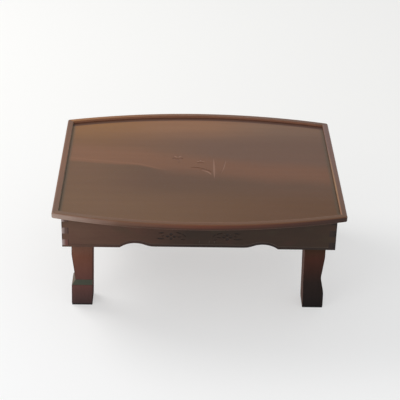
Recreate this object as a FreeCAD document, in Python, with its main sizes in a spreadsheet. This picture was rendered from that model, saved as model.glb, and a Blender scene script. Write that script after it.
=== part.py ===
"""Low folding tea table: a sunk panel in a bowed rim, a box-jointed apron, and four legs that fold inwards.

The frame has its origin on the floor under the middle of the table, +Z up, X along the length, and -Y towards
the side that faces the viewer. All sizes are in millimetres.
"""
import FreeCAD, Part
import math
import os
import re
from collections import namedtuple

import Sketcher

SIZES = {
    # The whole table
    "top_length": 600.0,
    "corner_depth": 424.0,
    "bow": 41.0,
    "table_height": 240.0,
    # Rim rails
    "rim_width": 13.0,
    "rim_height": 12.5,
    "corner_radius": 5.0,
    "rim_top_round": 3.5,
    "rim_low_round": 2.0,
    "rim_inner_round": 1.2,
    # Panel and the tongue round it
    "recess_depth": 5.0,
    "panel_gap": 0.2,
    "tongue_length": 5.0,
    "tongue_thickness": 3.5,
    "tongue_rise": 2.0,
    "tongue_slack": 0.3,
    # Apron box
    "apron_end_inset": 18.8,
    "apron_side_inset": 7.0,
    "apron_height": 72.0,
    "board_thickness": 14.0,
    "arch_outer": 163.0,
    "arch_peak": 131.5,
    "arch_inner": 91.0,
    "arch_rise": 10.8,
    "middle_rise": 2.8,
    "bead_rise": 5.2,
    "bead_width": 1.8,
    "bead_depth": 0.4,
    # Carving
    "motif_span": 64.0,
    "motif_offset": 57.5,
    "motif_rise": 28.0,
    "blade_rise": 15.0,
    "carving_deep_cut": 0.8,
    "carving_shallow_cut": 0.4,
    "sprig_span": 110.0,
    "sprig_across": 6.0,
    "sprig_back": -2.0,
    "sprig_deep_cut": 0.6,
    "sprig_shallow_cut": 0.3,
    # Legs
    "leg_width": 44.0,
    "leg_depth": 46.0,
    "leg_lean": 4.3,
    "leg_side_gap": 4.3,
    "leg_front_gap": 2.3,
    "head_flat": 6.0,
    "taper_start": 126.0,
    "left_ankle_notch": 7.4,
    "left_ankle_rise": 60.0,
    "left_block_rise": 50.0,
    "right_ankle_notch": 6.0,
    "right_ankle_rise": 70.0,
    "right_block_rise": 39.0,
    # Foot pads
    "pad_thickness": 2.5,
    "pad_inset": 0.4,
    "pad_corner_round": 1.5,
    # Hinges
    "mount_thickness": 8.0,
    "mount_length": 80.0,
    "mount_depth": 60.0,
    "plate_thickness": 2.0,
    "plate_inner": 40.0,
    "plate_gap": 0.5,
    "cheek_thickness": 1.5,
    "cheek_gap": 0.3,
    "cheek_top": 40.0,
    "cheek_radius": 11.0,
    "spring_room": 5.0,
    "spring_thickness": 0.8,
    "spring_width": 14.0,
    "spring_half_span": 14.0,
    "spring_tab": 13.0,
    "spring_gap": 0.15,
    "pin_diameter": 6.0,
    "pin_chamfer": 0.4,
    "pin_seat_gap": 0.02,
    "pin_run_gap": 0.08,
    "rivet_diameter": 3.0,
    "rivet_head": 5.6,
    "rivet_head_height": 1.2,
    "rivet_gap": 0.05,
    "rivet_inset": 7.0,
    # Rubber stops on the side boards
    "stop_radius": 8.0,
    "stop_drop": 59.5,
    "running_gap": 0.3,
    # Battens and cleats under the panel
    "batten_offset": 110.0,
    "batten_width": 30.0,
    "cleat_size": 12.0,
    # Wood screws
    "screw_diameter": 4.0,
    "screw_head": 7.6,
    "screw_head_height": 1.8,
    "screw_tip": 2.0,
    "screw_gap": 0.1,
    "screw_slot_width": 0.9,
    "screw_slot_length": 4.6,
    "screw_slot_depth": 0.8,
    "panel_bite": 3.6,
    "bracket_bite": 7.6,
    "plate_screw_outer": 19.5,
    "plate_screw_inner": 34.5,
    "plate_screw_spread": 30.0,
    "batten_screw_inset": 59.0,
    "long_cleat_screw_inset": 37.0,
    "short_cleat_screw_inset": 46.0,
    # Cutters run past the faces that they open
    "overrun": 1.0,
}

# Two places this close together, as a share of the table's length, are the same place
SAME_PLACE_SHARE = 0.00001

# Heights of the finger edges on an apron corner, from its lower edge, as shares of the apron's height
FINGER_EDGE_SHARES = (0.052, 0.246, 0.440, 0.635, 0.829)

# Strokes of the carving: place, turn in degrees, length and the bulge to its left and right.
# A negative bulge makes a crescent. Lengths are shares of the motif's span.
# Place is from the flower's centre, towards the middle of the table and up.
MOTIF_PETAL_SHARES = (
    (0.000, 0.083, 90, 0.100, 0.044, 0.044),
    (0.000, -0.083, 90, 0.100, 0.044, 0.044),
    (0.110, 0.000, 0, 0.120, 0.036, 0.036),
    (-0.110, 0.000, 0, 0.120, 0.036, 0.036),
)
MOTIF_LEAF_SHARES = (
    (-0.310, 0.125, 4, 0.190, 0.034, 0.010),
    (-0.340, -0.075, -3, 0.270, 0.012, 0.034),
    (-0.260, 0.022, 14, 0.090, 0.018, 0.018),
    (0.235, 0.125, -18, 0.200, 0.036, 0.006),
    (0.405, 0.050, -42, 0.170, 0.030, 0.006),
    (0.270, -0.020, 12, 0.145, 0.026, 0.008),
    (0.375, -0.100, -10, 0.150, 0.008, 0.026),
)
# Round dots of the flower: place and diameter, the same way
MOTIF_DOT_SHARES = (
    (0.000, 0.000, 0.040),
    (0.092, 0.086, 0.030),
    (0.092, -0.086, 0.030),
    (-0.092, 0.086, 0.030),
    (-0.092, -0.086, 0.030),
)
# Three grass blades between the two flowers, the same way, from the middle of the table
BLADE_STROKE_SHARES = (
    (0.005, 0.000, 84, 0.140, 0.014, 0.014),
    (0.320, 0.000, 90, 0.160, 0.014, 0.014),
    (0.490, 0.000, 98, 0.120, 0.014, 0.014),
)
# Leaves and stems of the sprig on the panel, the same way, as shares of the sprig's span, cut deep or shallow
SPRIG_STROKE_SHARES = {
    "deep": (
        (-0.013, -0.096, 156.5, 0.467, -0.040, 0.070),
        (-0.018, 0.195, 0, 0.150, 0.008, 0.032),
        (-0.445, 0.215, 82, 0.120, 0.006, 0.006),
    ),
    "shallow": (
        (0.244, -0.022, 90, 0.855, 0.020, 0.020),
        (0.427, 0.037, 79, 0.615, -0.008, 0.028),
        (0.074, -0.207, 139, 0.291, -0.030, 0.078),
    ),
}
# Blossoms of the sprig: centre, petal length, petal bulge and distance as shares of the span, and petal turns
BLOSSOM_SHARES = {
    "deep": ((-0.473, 0.382, 0.095, 0.025, 0.070, (198, 270, 342)),),
    "shallow": (
        (-0.473, 0.382, 0.095, 0.025, 0.070, (54, 126)),
        (-0.018, 0.225, 0.070, 0.019, 0.056, (28, 90, 152)),
    ),
}

Corner = namedtuple("Corner", "across up radius side", defaults=("", 1))
"""A corner of an outline: two expressions, then the radius of the arc to the next corner, if any.
Side 1 bulges to the right of the way the outline runs, which is outwards when it runs anticlockwise."""

BOW_RADIUS = "(((top_length / 2)^2 + bow^2) / (2 * bow))"
BOW_CENTRE = f"(corner_depth / 2 + bow - {BOW_RADIUS})"
RIM_FLOOR = "(table_height - rim_height)"
PANEL_THICKNESS = "(rim_height - recess_depth)"
APRON_FLOOR = f"({RIM_FLOOR} - apron_height)"
MOUNT_FLOOR = f"({RIM_FLOOR} - mount_thickness)"
PLATE_FLOOR = f"({MOUNT_FLOOR} - plate_thickness)"
APRON_LENGTH = "(top_length - 2 * apron_end_inset)"
APRON_DEPTH = "(corner_depth - 2 * apron_side_inset)"
LEG_HALF = "(leg_width / 2)"
HEAD_ROOM = f"({LEG_HALF} + spring_room)"
PIVOT_HEIGHT = f"({PLATE_FLOOR} - {HEAD_ROOM})"
SIDE_INNER = f"({APRON_LENGTH} / 2 - board_thickness)"
FRONT_INNER = f"({APRON_DEPTH} / 2 - board_thickness)"
PIVOT_ACROSS = f"({SIDE_INNER} - leg_side_gap - {LEG_HALF})"
LEG_BACK = f"({FRONT_INNER} - leg_front_gap - leg_depth / 2)"
CHEEK_INNER = "(leg_depth / 2 + cheek_gap)"
CHEEK_OUTER = f"({CHEEK_INNER} + cheek_thickness)"
PLATE_OUTER = f"({SIDE_INNER} - {PIVOT_ACROSS} - plate_gap)"
RIVET_ACROSS = "(spring_half_span + rivet_inset)"
MOUNT_INNER = f"({SIDE_INNER} - mount_length)"
MOUNT_BACK = f"({FRONT_INNER} - mount_depth)"
LEAN_PER_HEIGHT = f"(leg_lean / {PIVOT_HEIGHT})"
BATTEN_REACH = f"({PIVOT_ACROSS} - batten_offset - batten_width / 2)"
BATTEN_LEAN = f"{LEAN_PER_HEIGHT} * {BATTEN_REACH}"
BATTEN_HEIGHT = f"({RIM_FLOOR} - {PIVOT_HEIGHT} - {LEG_HALF} + {BATTEN_LEAN} - running_gap)"
BATTEN_HALF = f"({FRONT_INNER} - cleat_size)"
STOP_HEIGHT = f"({RIM_FLOOR} - stop_drop)"
STOP_THICKNESS = (
    f"(leg_side_gap - {LEAN_PER_HEIGHT} * ({PIVOT_HEIGHT} - {STOP_HEIGHT} + stop_radius) - running_gap)"
)

# From the middle of a batten or cleat to its outermost screws
BATTEN_SCREW_REACH = f"({BATTEN_HALF} - batten_screw_inset)"
LONG_CLEAT_SCREW_REACH = f"({MOUNT_INNER} - long_cleat_screw_inset)"
SHORT_CLEAT_SCREW_REACH = f"({MOUNT_BACK} - short_cleat_screw_inset)"

# Points of a sketch's lines and circles, and its origin, as the sketcher numbers them
START, END, CENTRE = range(1, 4)
ORIGIN = (-1, START)

ENDS = {"left": -1, "right": 1}
LONG_SIDES = {"front": -1, "rear": 1}

doc = FreeCAD.newDocument("kang_table")
sheet = doc.addObject("Spreadsheet::Sheet", "Sizes")
parts = {}


# Sheet and expressions


def fill_sheet():
    """Write every driving size into the sheet under its own alias."""
    for row, (alias, size) in enumerate(SIZES.items(), start=1):
        sheet.set(f"A{row}", alias)
        sheet.set(f"B{row}", str(size))
        sheet.setAlias(f"B{row}", alias)
    doc.recompute()


def linked(text):
    """Return an expression with the sheet's name before each alias."""
    return re.sub(r"[a-z][a-z_]*", lambda word: "Sizes." * (word[0] in SIZES) + word[0], text)


def number(text):
    """Return what an expression comes to."""
    return float(sheet.evalExpression(linked(text)))


def bowed_edge(across, inset="0"):
    """Depth of the bowed outer line of the rear rail, drawn in by an inset, at a place along the length."""
    return f"({BOW_CENTRE} + sqrt(({BOW_RADIUS} - ({inset}))^2 - ({across})^2))"


# Bodies, sketches and features


def new_body(name, across="0", back="0", up="0"):
    """Start a body at a place in the table's frame and list it as a piece."""
    body = doc.addObject("PartDesign::Body", name)
    body.Label = name
    for axis, place in zip("xyz", (across, back, up)):
        body.setExpression(f"Placement.Base.{axis}", linked(place))
    parts[name] = body
    return body


def origin_feature(body, role):
    """Find one of the body's own planes or axes."""
    return next(feature for feature in body.Origin.OriginFeatures if feature.Role == role)


def new_sketch(body, name, role, lift="0"):
    """Attach a sketch to one of the body's own planes, lifted along the plane's normal."""
    sketch = body.newObject("Sketcher::SketchObject", name)
    sketch.AttachmentSupport = [(origin_feature(body, role), "")]
    sketch.MapMode = "FlatFace"
    sketch.setExpression("AttachmentOffset.Base.z", linked(lift))
    return sketch


def bind(sketch, links):
    """Add constraints to a sketch in one go; those that come with an expression are tied to it."""
    first = sketch.ConstraintCount
    constraints = []
    for offset, (kind, target, measure) in enumerate(links):
        value = (number(measure),) if measure else ()
        constraint = Sketcher.Constraint(kind, *target, *value)
        if measure:
            constraint.Name = f"size_{first + offset}"
        constraints.append(constraint)
    sketch.addConstraint(constraints)
    for constraint, (_, _, measure) in zip(constraints, links):
        if measure:
            sketch.setExpression(f"Constraints.{constraint.Name}", linked(measure))


def arc_through(start, end, radius, side):
    """Return the short arc from start to end that bulges to the right for side 1, to the left for side -1."""
    chord = end - start
    half = chord.Length / 2
    rise = radius - math.sqrt(max(radius**2 - half**2, 0.0))
    right = FreeCAD.Vector(chord.y, -chord.x, 0).normalize()
    middle = (start + end) / 2 + right * rise * side
    # A sketch keeps its arcs anticlockwise, so one that bulges to the left is drawn from its end
    return Part.Arc(start, middle, end) if side > 0 else Part.Arc(end, middle, start)


def draw_loop(sketch, corners):
    """Draw one closed outline and tie each corner and each radius to the sheet."""
    spots = [FreeCAD.Vector(number(c.across), number(c.up), 0) for c in corners]
    first = sketch.GeometryCount
    runs = []
    for index, corner in enumerate(corners):
        start = spots[index]
        end = spots[(index + 1) % len(corners)]
        if corner.radius:
            sketch.addGeometry(arc_through(start, end, number(corner.radius), corner.side), False)
        else:
            sketch.addGeometry(Part.LineSegment(start, end), False)
        begins = (sketch.Geometry[first + index].StartPoint - start).Length
        ends = (sketch.Geometry[first + index].EndPoint - start).Length
        runs.append((START, END) if begins < ends else (END, START))
    links = []
    for index, corner in enumerate(corners):
        here = first + index
        after = (index + 1) % len(corners)
        links.append(("Coincident", (here, runs[index][1], first + after, runs[after][0]), ""))
        links.append(("DistanceX", (*ORIGIN, here, runs[index][0]), corner.across))
        links.append(("DistanceY", (*ORIGIN, here, runs[index][0]), corner.up))
        if corner.radius:
            links.append(("Radius", (here,), corner.radius))
    bind(sketch, links)


def draw_circle(sketch, across, up, diameter):
    """Draw one circle and tie its centre and diameter to the sheet."""
    centre = FreeCAD.Vector(number(across), number(up), 0)
    circle = Part.Circle(centre, FreeCAD.Vector(0, 0, 1), number(diameter) / 2)
    index = sketch.addGeometry(circle, False)
    place = (*ORIGIN, index, CENTRE)
    bind(sketch, [("DistanceX", place, across), ("DistanceY", place, up), ("Diameter", (index,), diameter)])


def rectangle(across_low, across_high, up_low, up_high):
    """Corners of an upright rectangle, anticlockwise."""
    return [
        Corner(across_low, up_low),
        Corner(across_high, up_low),
        Corner(across_high, up_high),
        Corner(across_low, up_high),
    ]


def flipped(corners, sign):
    """Mirror corners left to right when the sign is -1."""
    return [Corner(f"{sign} * ({c.across})", c.up, c.radius, c.side * sign) for c in corners]


def pad(body, name, sketch, length, reverse=False, both=False):
    """Raise a sketch into a solid, away from its plane or to both sides alike."""
    feature = body.newObject("PartDesign::Pad", name)
    feature.Profile = sketch
    feature.setExpression("Length", linked(length))
    feature.Reversed = reverse
    feature.SideType = "Symmetric" if both else "One side"
    return finish_feature(body, feature)


def pocket(body, name, sketch, depth, reverse=False, both=False):
    """Sink a sketch into the body and make sure that it took material away."""
    before = body.Shape.Volume
    feature = body.newObject("PartDesign::Pocket", name)
    feature.Profile = sketch
    feature.setExpression("Length", linked(depth))
    feature.Reversed = reverse
    feature.SideType = "Symmetric" if both else "One side"
    finish_feature(body, feature)
    if body.Shape.Volume >= before:
        raise RuntimeError(f"{name} cuts nothing from {body.Label}")
    return feature


def soften(body, kind, name, size, wanted):
    """Round or chamfer the edges of the body's newest feature whose middle passes a test."""
    base = body.Tip
    chosen = [
        f"Edge{index}"
        for index, edge in enumerate(base.Shape.Edges, start=1)
        if wanted(edge, edge.valueAt((edge.FirstParameter + edge.LastParameter) / 2))
    ]
    feature = body.newObject(f"PartDesign::{kind}", name)
    feature.Base = (base, chosen)
    feature.setExpression("Radius" if kind == "Fillet" else "Size", linked(size))
    return finish_feature(body, feature)


def finish_feature(body, feature):
    """Make a feature the body's last one and bring the body up to date."""
    body.Tip = feature
    doc.recompute()
    return feature


def near(value, target):
    """Tell whether two lengths agree closely enough to be the same place."""
    return abs(value - target) < SAME_PLACE_SHARE * SIZES["top_length"]


def screw_holes(body, name, centres, depth, countersink=True):
    """Drill clearance holes up from the body's lower face, with a countersink for the heads there."""
    sketch = new_sketch(body, f"{name}_circles", "XY_Plane")
    for across, back in centres:
        draw_circle(sketch, across, back, "screw_diameter + 2 * screw_gap")
    pocket(body, name, sketch, depth, reverse=True)
    if countersink:
        radius = number("screw_diameter / 2 + screw_gap")
        soften(
            body,
            "Chamfer",
            f"{name}_countersinks",
            "(screw_head - screw_diameter) / 2",
            lambda edge, spot: near(spot.z, 0) and is_circle(edge, radius),
        )


def is_circle(edge, radius):
    """Tell whether an edge is round with a given radius."""
    return hasattr(edge.Curve, "Radius") and near(edge.Curve.Radius, radius)


# Strokes of the carving


def stroke(span, shares, origin=("0", "0"), sign=1):
    """Corners of one carved stroke, a lens or a crescent, scaled by the span and flipped by the sign."""
    across, up, turn, length, left_bulge, right_bulge = shares
    reach = FreeCAD.Vector(math.cos(math.radians(turn)), math.sin(math.radians(turn)), 0) * (length / 2)
    corners = []
    for end, bulge in ((-1, right_bulge), (1, left_bulge)):
        radius = ((length / 2) ** 2 + bulge**2) / (2 * abs(bulge))
        corners.append(
            Corner(
                f"{origin[0]} + {sign * (across + end * reach.x):.6f} * {span}",
                f"{origin[1]} + {up + end * reach.y:.6f} * {span}",
                f"{radius:.6f} * {span}",
                sign * (1 if bulge > 0 else -1),
            )
        )
    return corners


# The top


def build_panel():
    """Sunk panel with a tongue all round, a carved sprig on top and pilot holes beneath."""
    body = new_body("top_panel", up=RIM_FLOOR)
    for name, inset, lift, height in (
        ("panel_outline", "rim_width + panel_gap", "0", PANEL_THICKNESS),
        ("tongue_outline", "rim_width - tongue_length", "tongue_rise", "tongue_thickness"),
    ):
        half = f"(top_length / 2 - ({inset}))"
        depth = bowed_edge(half, inset)
        radius = f"({BOW_RADIUS} - ({inset}))"
        sketch = new_sketch(body, name, "XY_Plane", lift)
        corners = [
            Corner(half, f"-{depth}"),
            Corner(half, depth, radius),
            Corner(f"-{half}", depth),
            Corner(f"-{half}", f"-{depth}", radius),
        ]
        draw_loop(sketch, corners)
        pad(body, name.replace("outline", "board"), sketch, height)
    for cut, strokes in SPRIG_STROKE_SHARES.items():
        sketch = new_sketch(body, f"{cut}_sprig_lines", "XY_Plane", PANEL_THICKNESS)
        for shares in [*strokes, *petals(BLOSSOM_SHARES[cut])]:
            draw_loop(sketch, stroke("sprig_span", shares, ("sprig_across", "sprig_back")))
        pocket(body, f"{cut}_sprig_carving", sketch, f"sprig_{cut}_cut")
    centres = panel_screw_centres()
    screw_holes(body, "pilot_holes", centres, "panel_bite + screw_gap", countersink=False)


def petals(blossoms):
    """Strokes of the petals of some blossoms."""
    return [
        (
            across + distance * math.cos(math.radians(turn)),
            up + distance * math.sin(math.radians(turn)),
            turn,
            length,
            bulge,
            bulge,
        )
        for across, up, length, bulge, distance, turns in blossoms
        for turn in turns
    ]


def panel_screw_centres():
    """Places of the screws that reach up into the panel: battens, long cleats and short cleats."""
    centres = []
    for end in ENDS.values():
        for step in (-1, 0, 1):
            centres.append((f"{end} * batten_offset", f"{step} * {BATTEN_SCREW_REACH}"))
        for step in (-1, 1):
            centres.append(
                (f"{end} * ({SIDE_INNER} - cleat_size / 2)", f"{step} * {SHORT_CLEAT_SCREW_REACH}")
            )
    for side in LONG_SIDES.values():
        for step in (-1, 0, 1):
            centres.append(
                (f"{step} * {LONG_CLEAT_SCREW_REACH}", f"{side} * ({FRONT_INNER} - cleat_size / 2)")
            )
    return centres


def rim_corner():
    """Places that both rails meeting at the right rear corner share: inner corner, mitre end and arc ends."""
    centre_across = "(top_length / 2 - corner_radius)"
    centre_back = bowed_edge(centre_across, "corner_radius")
    inner_across = "(top_length / 2 - rim_width)"
    inner_back = bowed_edge(inner_across, "rim_width")
    run = f"({centre_across} - {inner_across})"
    climb = f"({centre_back} - {inner_back})"
    length = f"sqrt({run}^2 + {climb}^2)"
    tip = (
        f"({centre_across} + corner_radius * {run} / {length})",
        f"({centre_back} + corner_radius * {climb} / {length})",
    )
    stretch = f"({BOW_RADIUS} / ({BOW_RADIUS} - corner_radius))"
    on_bow = (
        f"({centre_across} * {stretch})",
        f"({BOW_CENTRE} + ({centre_back} - {BOW_CENTRE}) * {stretch})",
    )
    return (inner_across, inner_back), tip, ("(top_length / 2)", centre_back), on_bow


def build_end_rail(name, sign):
    """Straight rail at the left or right end, mitred, grooved for the tongue and rounded."""
    inner, tip, on_end, _ = rim_corner()
    body = new_body(name, up=RIM_FLOOR)
    sketch = new_sketch(body, "rail_outline", "XY_Plane")
    corners = [
        Corner(inner[0], f"-{inner[1]}"),
        Corner(tip[0], f"-{tip[1]}", "corner_radius"),
        Corner(on_end[0], f"-{on_end[1]}"),
        Corner(on_end[0], on_end[1], "corner_radius"),
        Corner(tip[0], tip[1]),
        Corner(inner[0], inner[1]),
    ]
    draw_loop(sketch, flipped(corners, sign))
    pad(body, "rail", sketch, "rim_height")
    groove = new_sketch(body, "groove_outline", "XY_Plane", "tongue_rise")
    strip = rectangle(
        f"{inner[0]} - overrun",
        f"{inner[0]} + tongue_length + tongue_slack",
        "-corner_depth / 2",
        "corner_depth / 2",
    )
    draw_loop(groove, flipped(strip, sign))
    pocket(body, "tongue_groove", groove, "tongue_thickness + tongue_slack", reverse=True)
    outer = number(f"{inner[0]} + rim_width * 3 / 4")
    inner_line = number(inner[0])
    round_rail(body, lambda spot: spot.x * sign > outer, lambda spot: near(spot.x * sign, inner_line))


def build_long_rail(name, sign):
    """Bowed rail at the front or rear, mitred, grooved for the tongue and rounded."""
    inner, tip, _, on_bow = rim_corner()
    body = new_body(name, up=RIM_FLOOR)
    inner_radius = f"({BOW_RADIUS} - rim_width)"
    corners = [
        Corner(inner[0], inner[1]),
        Corner(tip[0], tip[1], "corner_radius"),
        Corner(on_bow[0], on_bow[1], BOW_RADIUS),
        Corner(f"-{on_bow[0]}", on_bow[1], "corner_radius"),
        Corner(f"-{tip[0]}", tip[1]),
        Corner(f"-{inner[0]}", inner[1], inner_radius, -1),
    ]
    sketch = new_sketch(body, "rail_outline", "XY_Plane")
    draw_loop(sketch, turned_over(corners, sign))
    pad(body, "rail", sketch, "rim_height")
    reach = "(top_length / 2)"
    groove_inner = "(rim_width + overrun)"
    groove_outer = "(rim_width - tongue_length - tongue_slack)"
    band = [
        Corner(f"-{reach}", bowed_edge(reach, groove_inner), f"{BOW_RADIUS} - {groove_inner}", -1),
        Corner(reach, bowed_edge(reach, groove_inner)),
        Corner(reach, bowed_edge(reach, groove_outer), f"{BOW_RADIUS} - {groove_outer}"),
        Corner(f"-{reach}", bowed_edge(reach, groove_outer)),
    ]
    groove = new_sketch(body, "groove_outline", "XY_Plane", "tongue_rise")
    draw_loop(groove, turned_over(band, sign))
    pocket(body, "tongue_groove", groove, "tongue_thickness + tongue_slack", reverse=True)
    centre = number(BOW_CENTRE)
    outer = number(f"{BOW_RADIUS} - rim_width / 4")
    inner_line = number(inner_radius)
    round_rail(
        body,
        lambda spot: math.hypot(spot.x, spot.y * sign - centre) > outer,
        lambda spot: near(math.hypot(spot.x, spot.y * sign - centre), inner_line),
    )


def turned_over(corners, sign):
    """Mirror corners front to back when the sign is -1."""
    return [Corner(c.across, f"{sign} * ({c.up})", c.radius, c.side * sign) for c in corners]


def round_rail(body, on_outer, on_inner):
    """Round a rail's outer edges above and below and ease its inner top edge."""
    top = number("rim_height")
    for name, size, height, wanted in (
        ("top_round", "rim_top_round", top, on_outer),
        ("low_round", "rim_low_round", 0, on_outer),
        ("edge_round", "rim_inner_round", top, on_inner),
    ):
        soften(body, "Fillet", name, size, lambda edge, spot: near(spot.z, height) and wanted(spot))


# The apron


def finger_heights():
    """Heights where the corner fingers begin and end, from the lower edge to the top."""
    return ["0"] + [f"{share} * apron_height" for share in FINGER_EDGE_SHARES] + ["apron_height"]


def board_end(half, owns_first):
    """Right-hand end of an apron board, upwards: its fingers stand out by the other board's thickness."""
    heights = finger_heights()
    corners = []
    for index, (low, high) in enumerate(zip(heights, heights[1:])):
        own = (index % 2 == 0) == owns_first
        across = half if own else f"({half} - board_thickness)"
        corners += [Corner(across, low), Corner(across, high)]
    return corners


def mirrored_path(corners):
    """Carry an open path from the right over to the left, running on the other way."""
    lasts = [Corner(f"-({c.across})", c.up) for c in reversed(corners)]
    arcs = [(c.radius, c.side) for c in corners[:-1]]
    joined = [Corner(c.across, c.up, *arc) for c, arc in zip(lasts, reversed(arcs))]
    return joined + [lasts[-1]]


def scalloped_edge(lift="0"):
    """Lower edge of a long board, from the middle to the right: raised middle, then an arch with a sharp end."""
    peak = f"({lift} + arch_rise)"
    middle = f"({lift} + middle_rise)"
    half_run = "((arch_peak - arch_inner) / 2)"
    half_climb = "((arch_rise - middle_rise) / 2)"
    turn = f"(({half_run}^2 + {half_climb}^2) / (2 * {half_climb}))"
    run = "(arch_outer - arch_peak)"
    fall = f"(({run}^2 + arch_rise^2) / (2 * arch_rise))"
    return [
        Corner("arch_inner", middle, turn, 1),
        Corner(f"arch_inner + {half_run}", f"{middle} + {half_climb}", turn, -1),
        Corner("arch_peak", peak, fall, -1),
        Corner("arch_outer", lift),
    ]


def without_doubles(corners):
    """Drop a corner that stands on the one before it, so that no side has zero length."""
    kept = []
    for corner in corners:
        spot = (number(corner.across), number(corner.up))
        if not kept or not all(near(a, b) for a, b in zip(spot, kept[-1][0])):
            kept.append((spot, corner))
    if all(near(a, b) for a, b in zip(kept[0][0], kept[-1][0])):
        kept.pop()
    return [corner for _, corner in kept]


def build_long_board(name, sign):
    """Front or rear apron board with finger ends, scalloped edge, scored bead and carving."""
    half = f"({APRON_LENGTH} / 2)"
    body = new_body(name, back=f"{sign} * ({APRON_DEPTH} - board_thickness) / 2", up=APRON_FLOOR)
    edge = scalloped_edge()
    outline = mirrored_path(edge) + edge + board_end(half, True)
    outline += mirrored_path(board_end(half, True))
    sketch = new_sketch(body, "board_outline", "XZ_Plane")
    draw_loop(sketch, without_doubles(outline))
    pad(body, "board", sketch, "board_thickness", both=True)
    face = f"{-sign} * board_thickness / 2"
    low = scalloped_edge("bead_rise")
    high = scalloped_edge("(bead_rise + bead_width)")
    end = f"({half} - board_thickness)"
    low_path = mirrored_path(low) + low + [Corner(end, "bead_rise")]
    high_path = mirrored_path(high) + high + [Corner(end, "bead_rise + bead_width")]
    bead = new_sketch(body, "bead_outline", "XZ_Plane", face)
    start = [Corner(f"-{end}", "bead_rise")]
    finish = [Corner(f"-{end}", "bead_rise + bead_width")]
    draw_loop(bead, start + low_path + returned(finish + high_path))
    pocket(body, "bead_groove", bead, "bead_depth", reverse=sign > 0)
    for end, end_sign in ENDS.items():
        origin = (f"{end_sign} * motif_offset", "motif_rise")
        flower = new_sketch(body, f"{end}_flower_dots", "XZ_Plane", face)
        for across, up, diameter in MOTIF_DOT_SHARES:
            place = (f"{origin[0]} + {across} * motif_span", f"{origin[1]} + {up} * motif_span")
            draw_circle(flower, *place, f"{diameter} * motif_span")
        pocket(body, f"{end}_dot_carving", flower, "carving_shallow_cut", reverse=sign > 0)
        for part, shares_list in (("petal", MOTIF_PETAL_SHARES), ("leaf", MOTIF_LEAF_SHARES)):
            strokes = new_sketch(body, f"{end}_{part}_lines", "XZ_Plane", face)
            for shares in shares_list:
                draw_loop(strokes, stroke("motif_span", shares, origin, -end_sign))
            pocket(body, f"{end}_{part}_carving", strokes, "carving_deep_cut", reverse=sign > 0)
    blades = new_sketch(body, "blade_lines", "XZ_Plane", face)
    for shares in BLADE_STROKE_SHARES:
        draw_loop(blades, stroke("motif_span", shares, ("0", "blade_rise")))
    pocket(body, "blade_carving", blades, "carving_shallow_cut", reverse=sign > 0)


def returned(corners):
    """Run an open path the other way round."""
    lasts = list(reversed(corners))
    arcs = [(c.radius, -c.side) for c in reversed(corners[:-1])]
    joined = [Corner(c.across, c.up, *arc) for c, arc in zip(lasts, arcs)]
    return joined + [Corner(lasts[-1].across, lasts[-1].up)]


def build_end_board(name, sign):
    """Left or right apron board with finger ends and a straight lower edge with a scored bead."""
    half = f"({APRON_DEPTH} / 2)"
    body = new_body(name, across=f"{sign} * ({APRON_LENGTH} - board_thickness) / 2", up=APRON_FLOOR)
    end = board_end(half, False)
    sketch = new_sketch(body, "board_outline", "YZ_Plane")
    draw_loop(sketch, without_doubles(end + mirrored_path(end)))
    pad(body, "board", sketch, "board_thickness", both=True)
    bead = new_sketch(body, "bead_outline", "YZ_Plane", f"{sign} * board_thickness / 2")
    reach = f"({half} - board_thickness)"
    draw_loop(bead, rectangle(f"-{reach}", reach, "bead_rise", "bead_rise + bead_width"))
    pocket(body, "bead_groove", bead, "bead_depth", reverse=sign < 0)


# Wood under the panel


def build_block(name, across, back, low, length, depth, height, holes, countersink=True):
    """Plain block of wood standing on its lower face at a place, with screw holes from below."""
    body = new_body(name, across, back, low)
    sketch = new_sketch(body, "block_outline", "XY_Plane")
    draw_loop(sketch, rectangle(f"-{length} / 2", f"{length} / 2", f"-{depth} / 2", f"{depth} / 2"))
    pad(body, "block", sketch, height)
    screw_holes(body, "screw_holes", holes, height, countersink)


def build_under_frame():
    """Battens, cleats and the blocks that the leg hinges are screwed to."""
    for end, sign in ENDS.items():
        holes = [("0", f"{step} * {BATTEN_SCREW_REACH}") for step in (-1, 0, 1)]
        build_block(
            f"{end}_batten",
            f"{sign} * batten_offset",
            "0",
            f"{RIM_FLOOR} - {BATTEN_HEIGHT}",
            "batten_width",
            f"(2 * {BATTEN_HALF})",
            BATTEN_HEIGHT,
            holes,
        )
        holes = [("0", f"{step} * {SHORT_CLEAT_SCREW_REACH}") for step in (-1, 1)]
        build_block(
            f"{end}_cleat",
            f"{sign} * ({SIDE_INNER} - cleat_size / 2)",
            "0",
            f"{RIM_FLOOR} - cleat_size",
            "cleat_size",
            f"(2 * {MOUNT_BACK})",
            "cleat_size",
            holes,
        )
    for side, sign in LONG_SIDES.items():
        holes = [(f"{step} * {LONG_CLEAT_SCREW_REACH}", "0") for step in (-1, 0, 1)]
        build_block(
            f"{side}_cleat",
            "0",
            f"{sign} * ({FRONT_INNER} - cleat_size / 2)",
            f"{RIM_FLOOR} - cleat_size",
            f"(2 * {MOUNT_INNER})",
            "cleat_size",
            "cleat_size",
            holes,
        )


# Hinges and legs


def plate_screw_places(sign):
    """Places of a hinge's four screws from its pivot."""
    return [
        (f"{sign * end} * {reach}", f"{step} * plate_screw_spread / 2")
        for end, reach in ((1, "plate_screw_outer"), (-1, "plate_screw_inner"))
        for step in (-1, 1)
    ]


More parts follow.
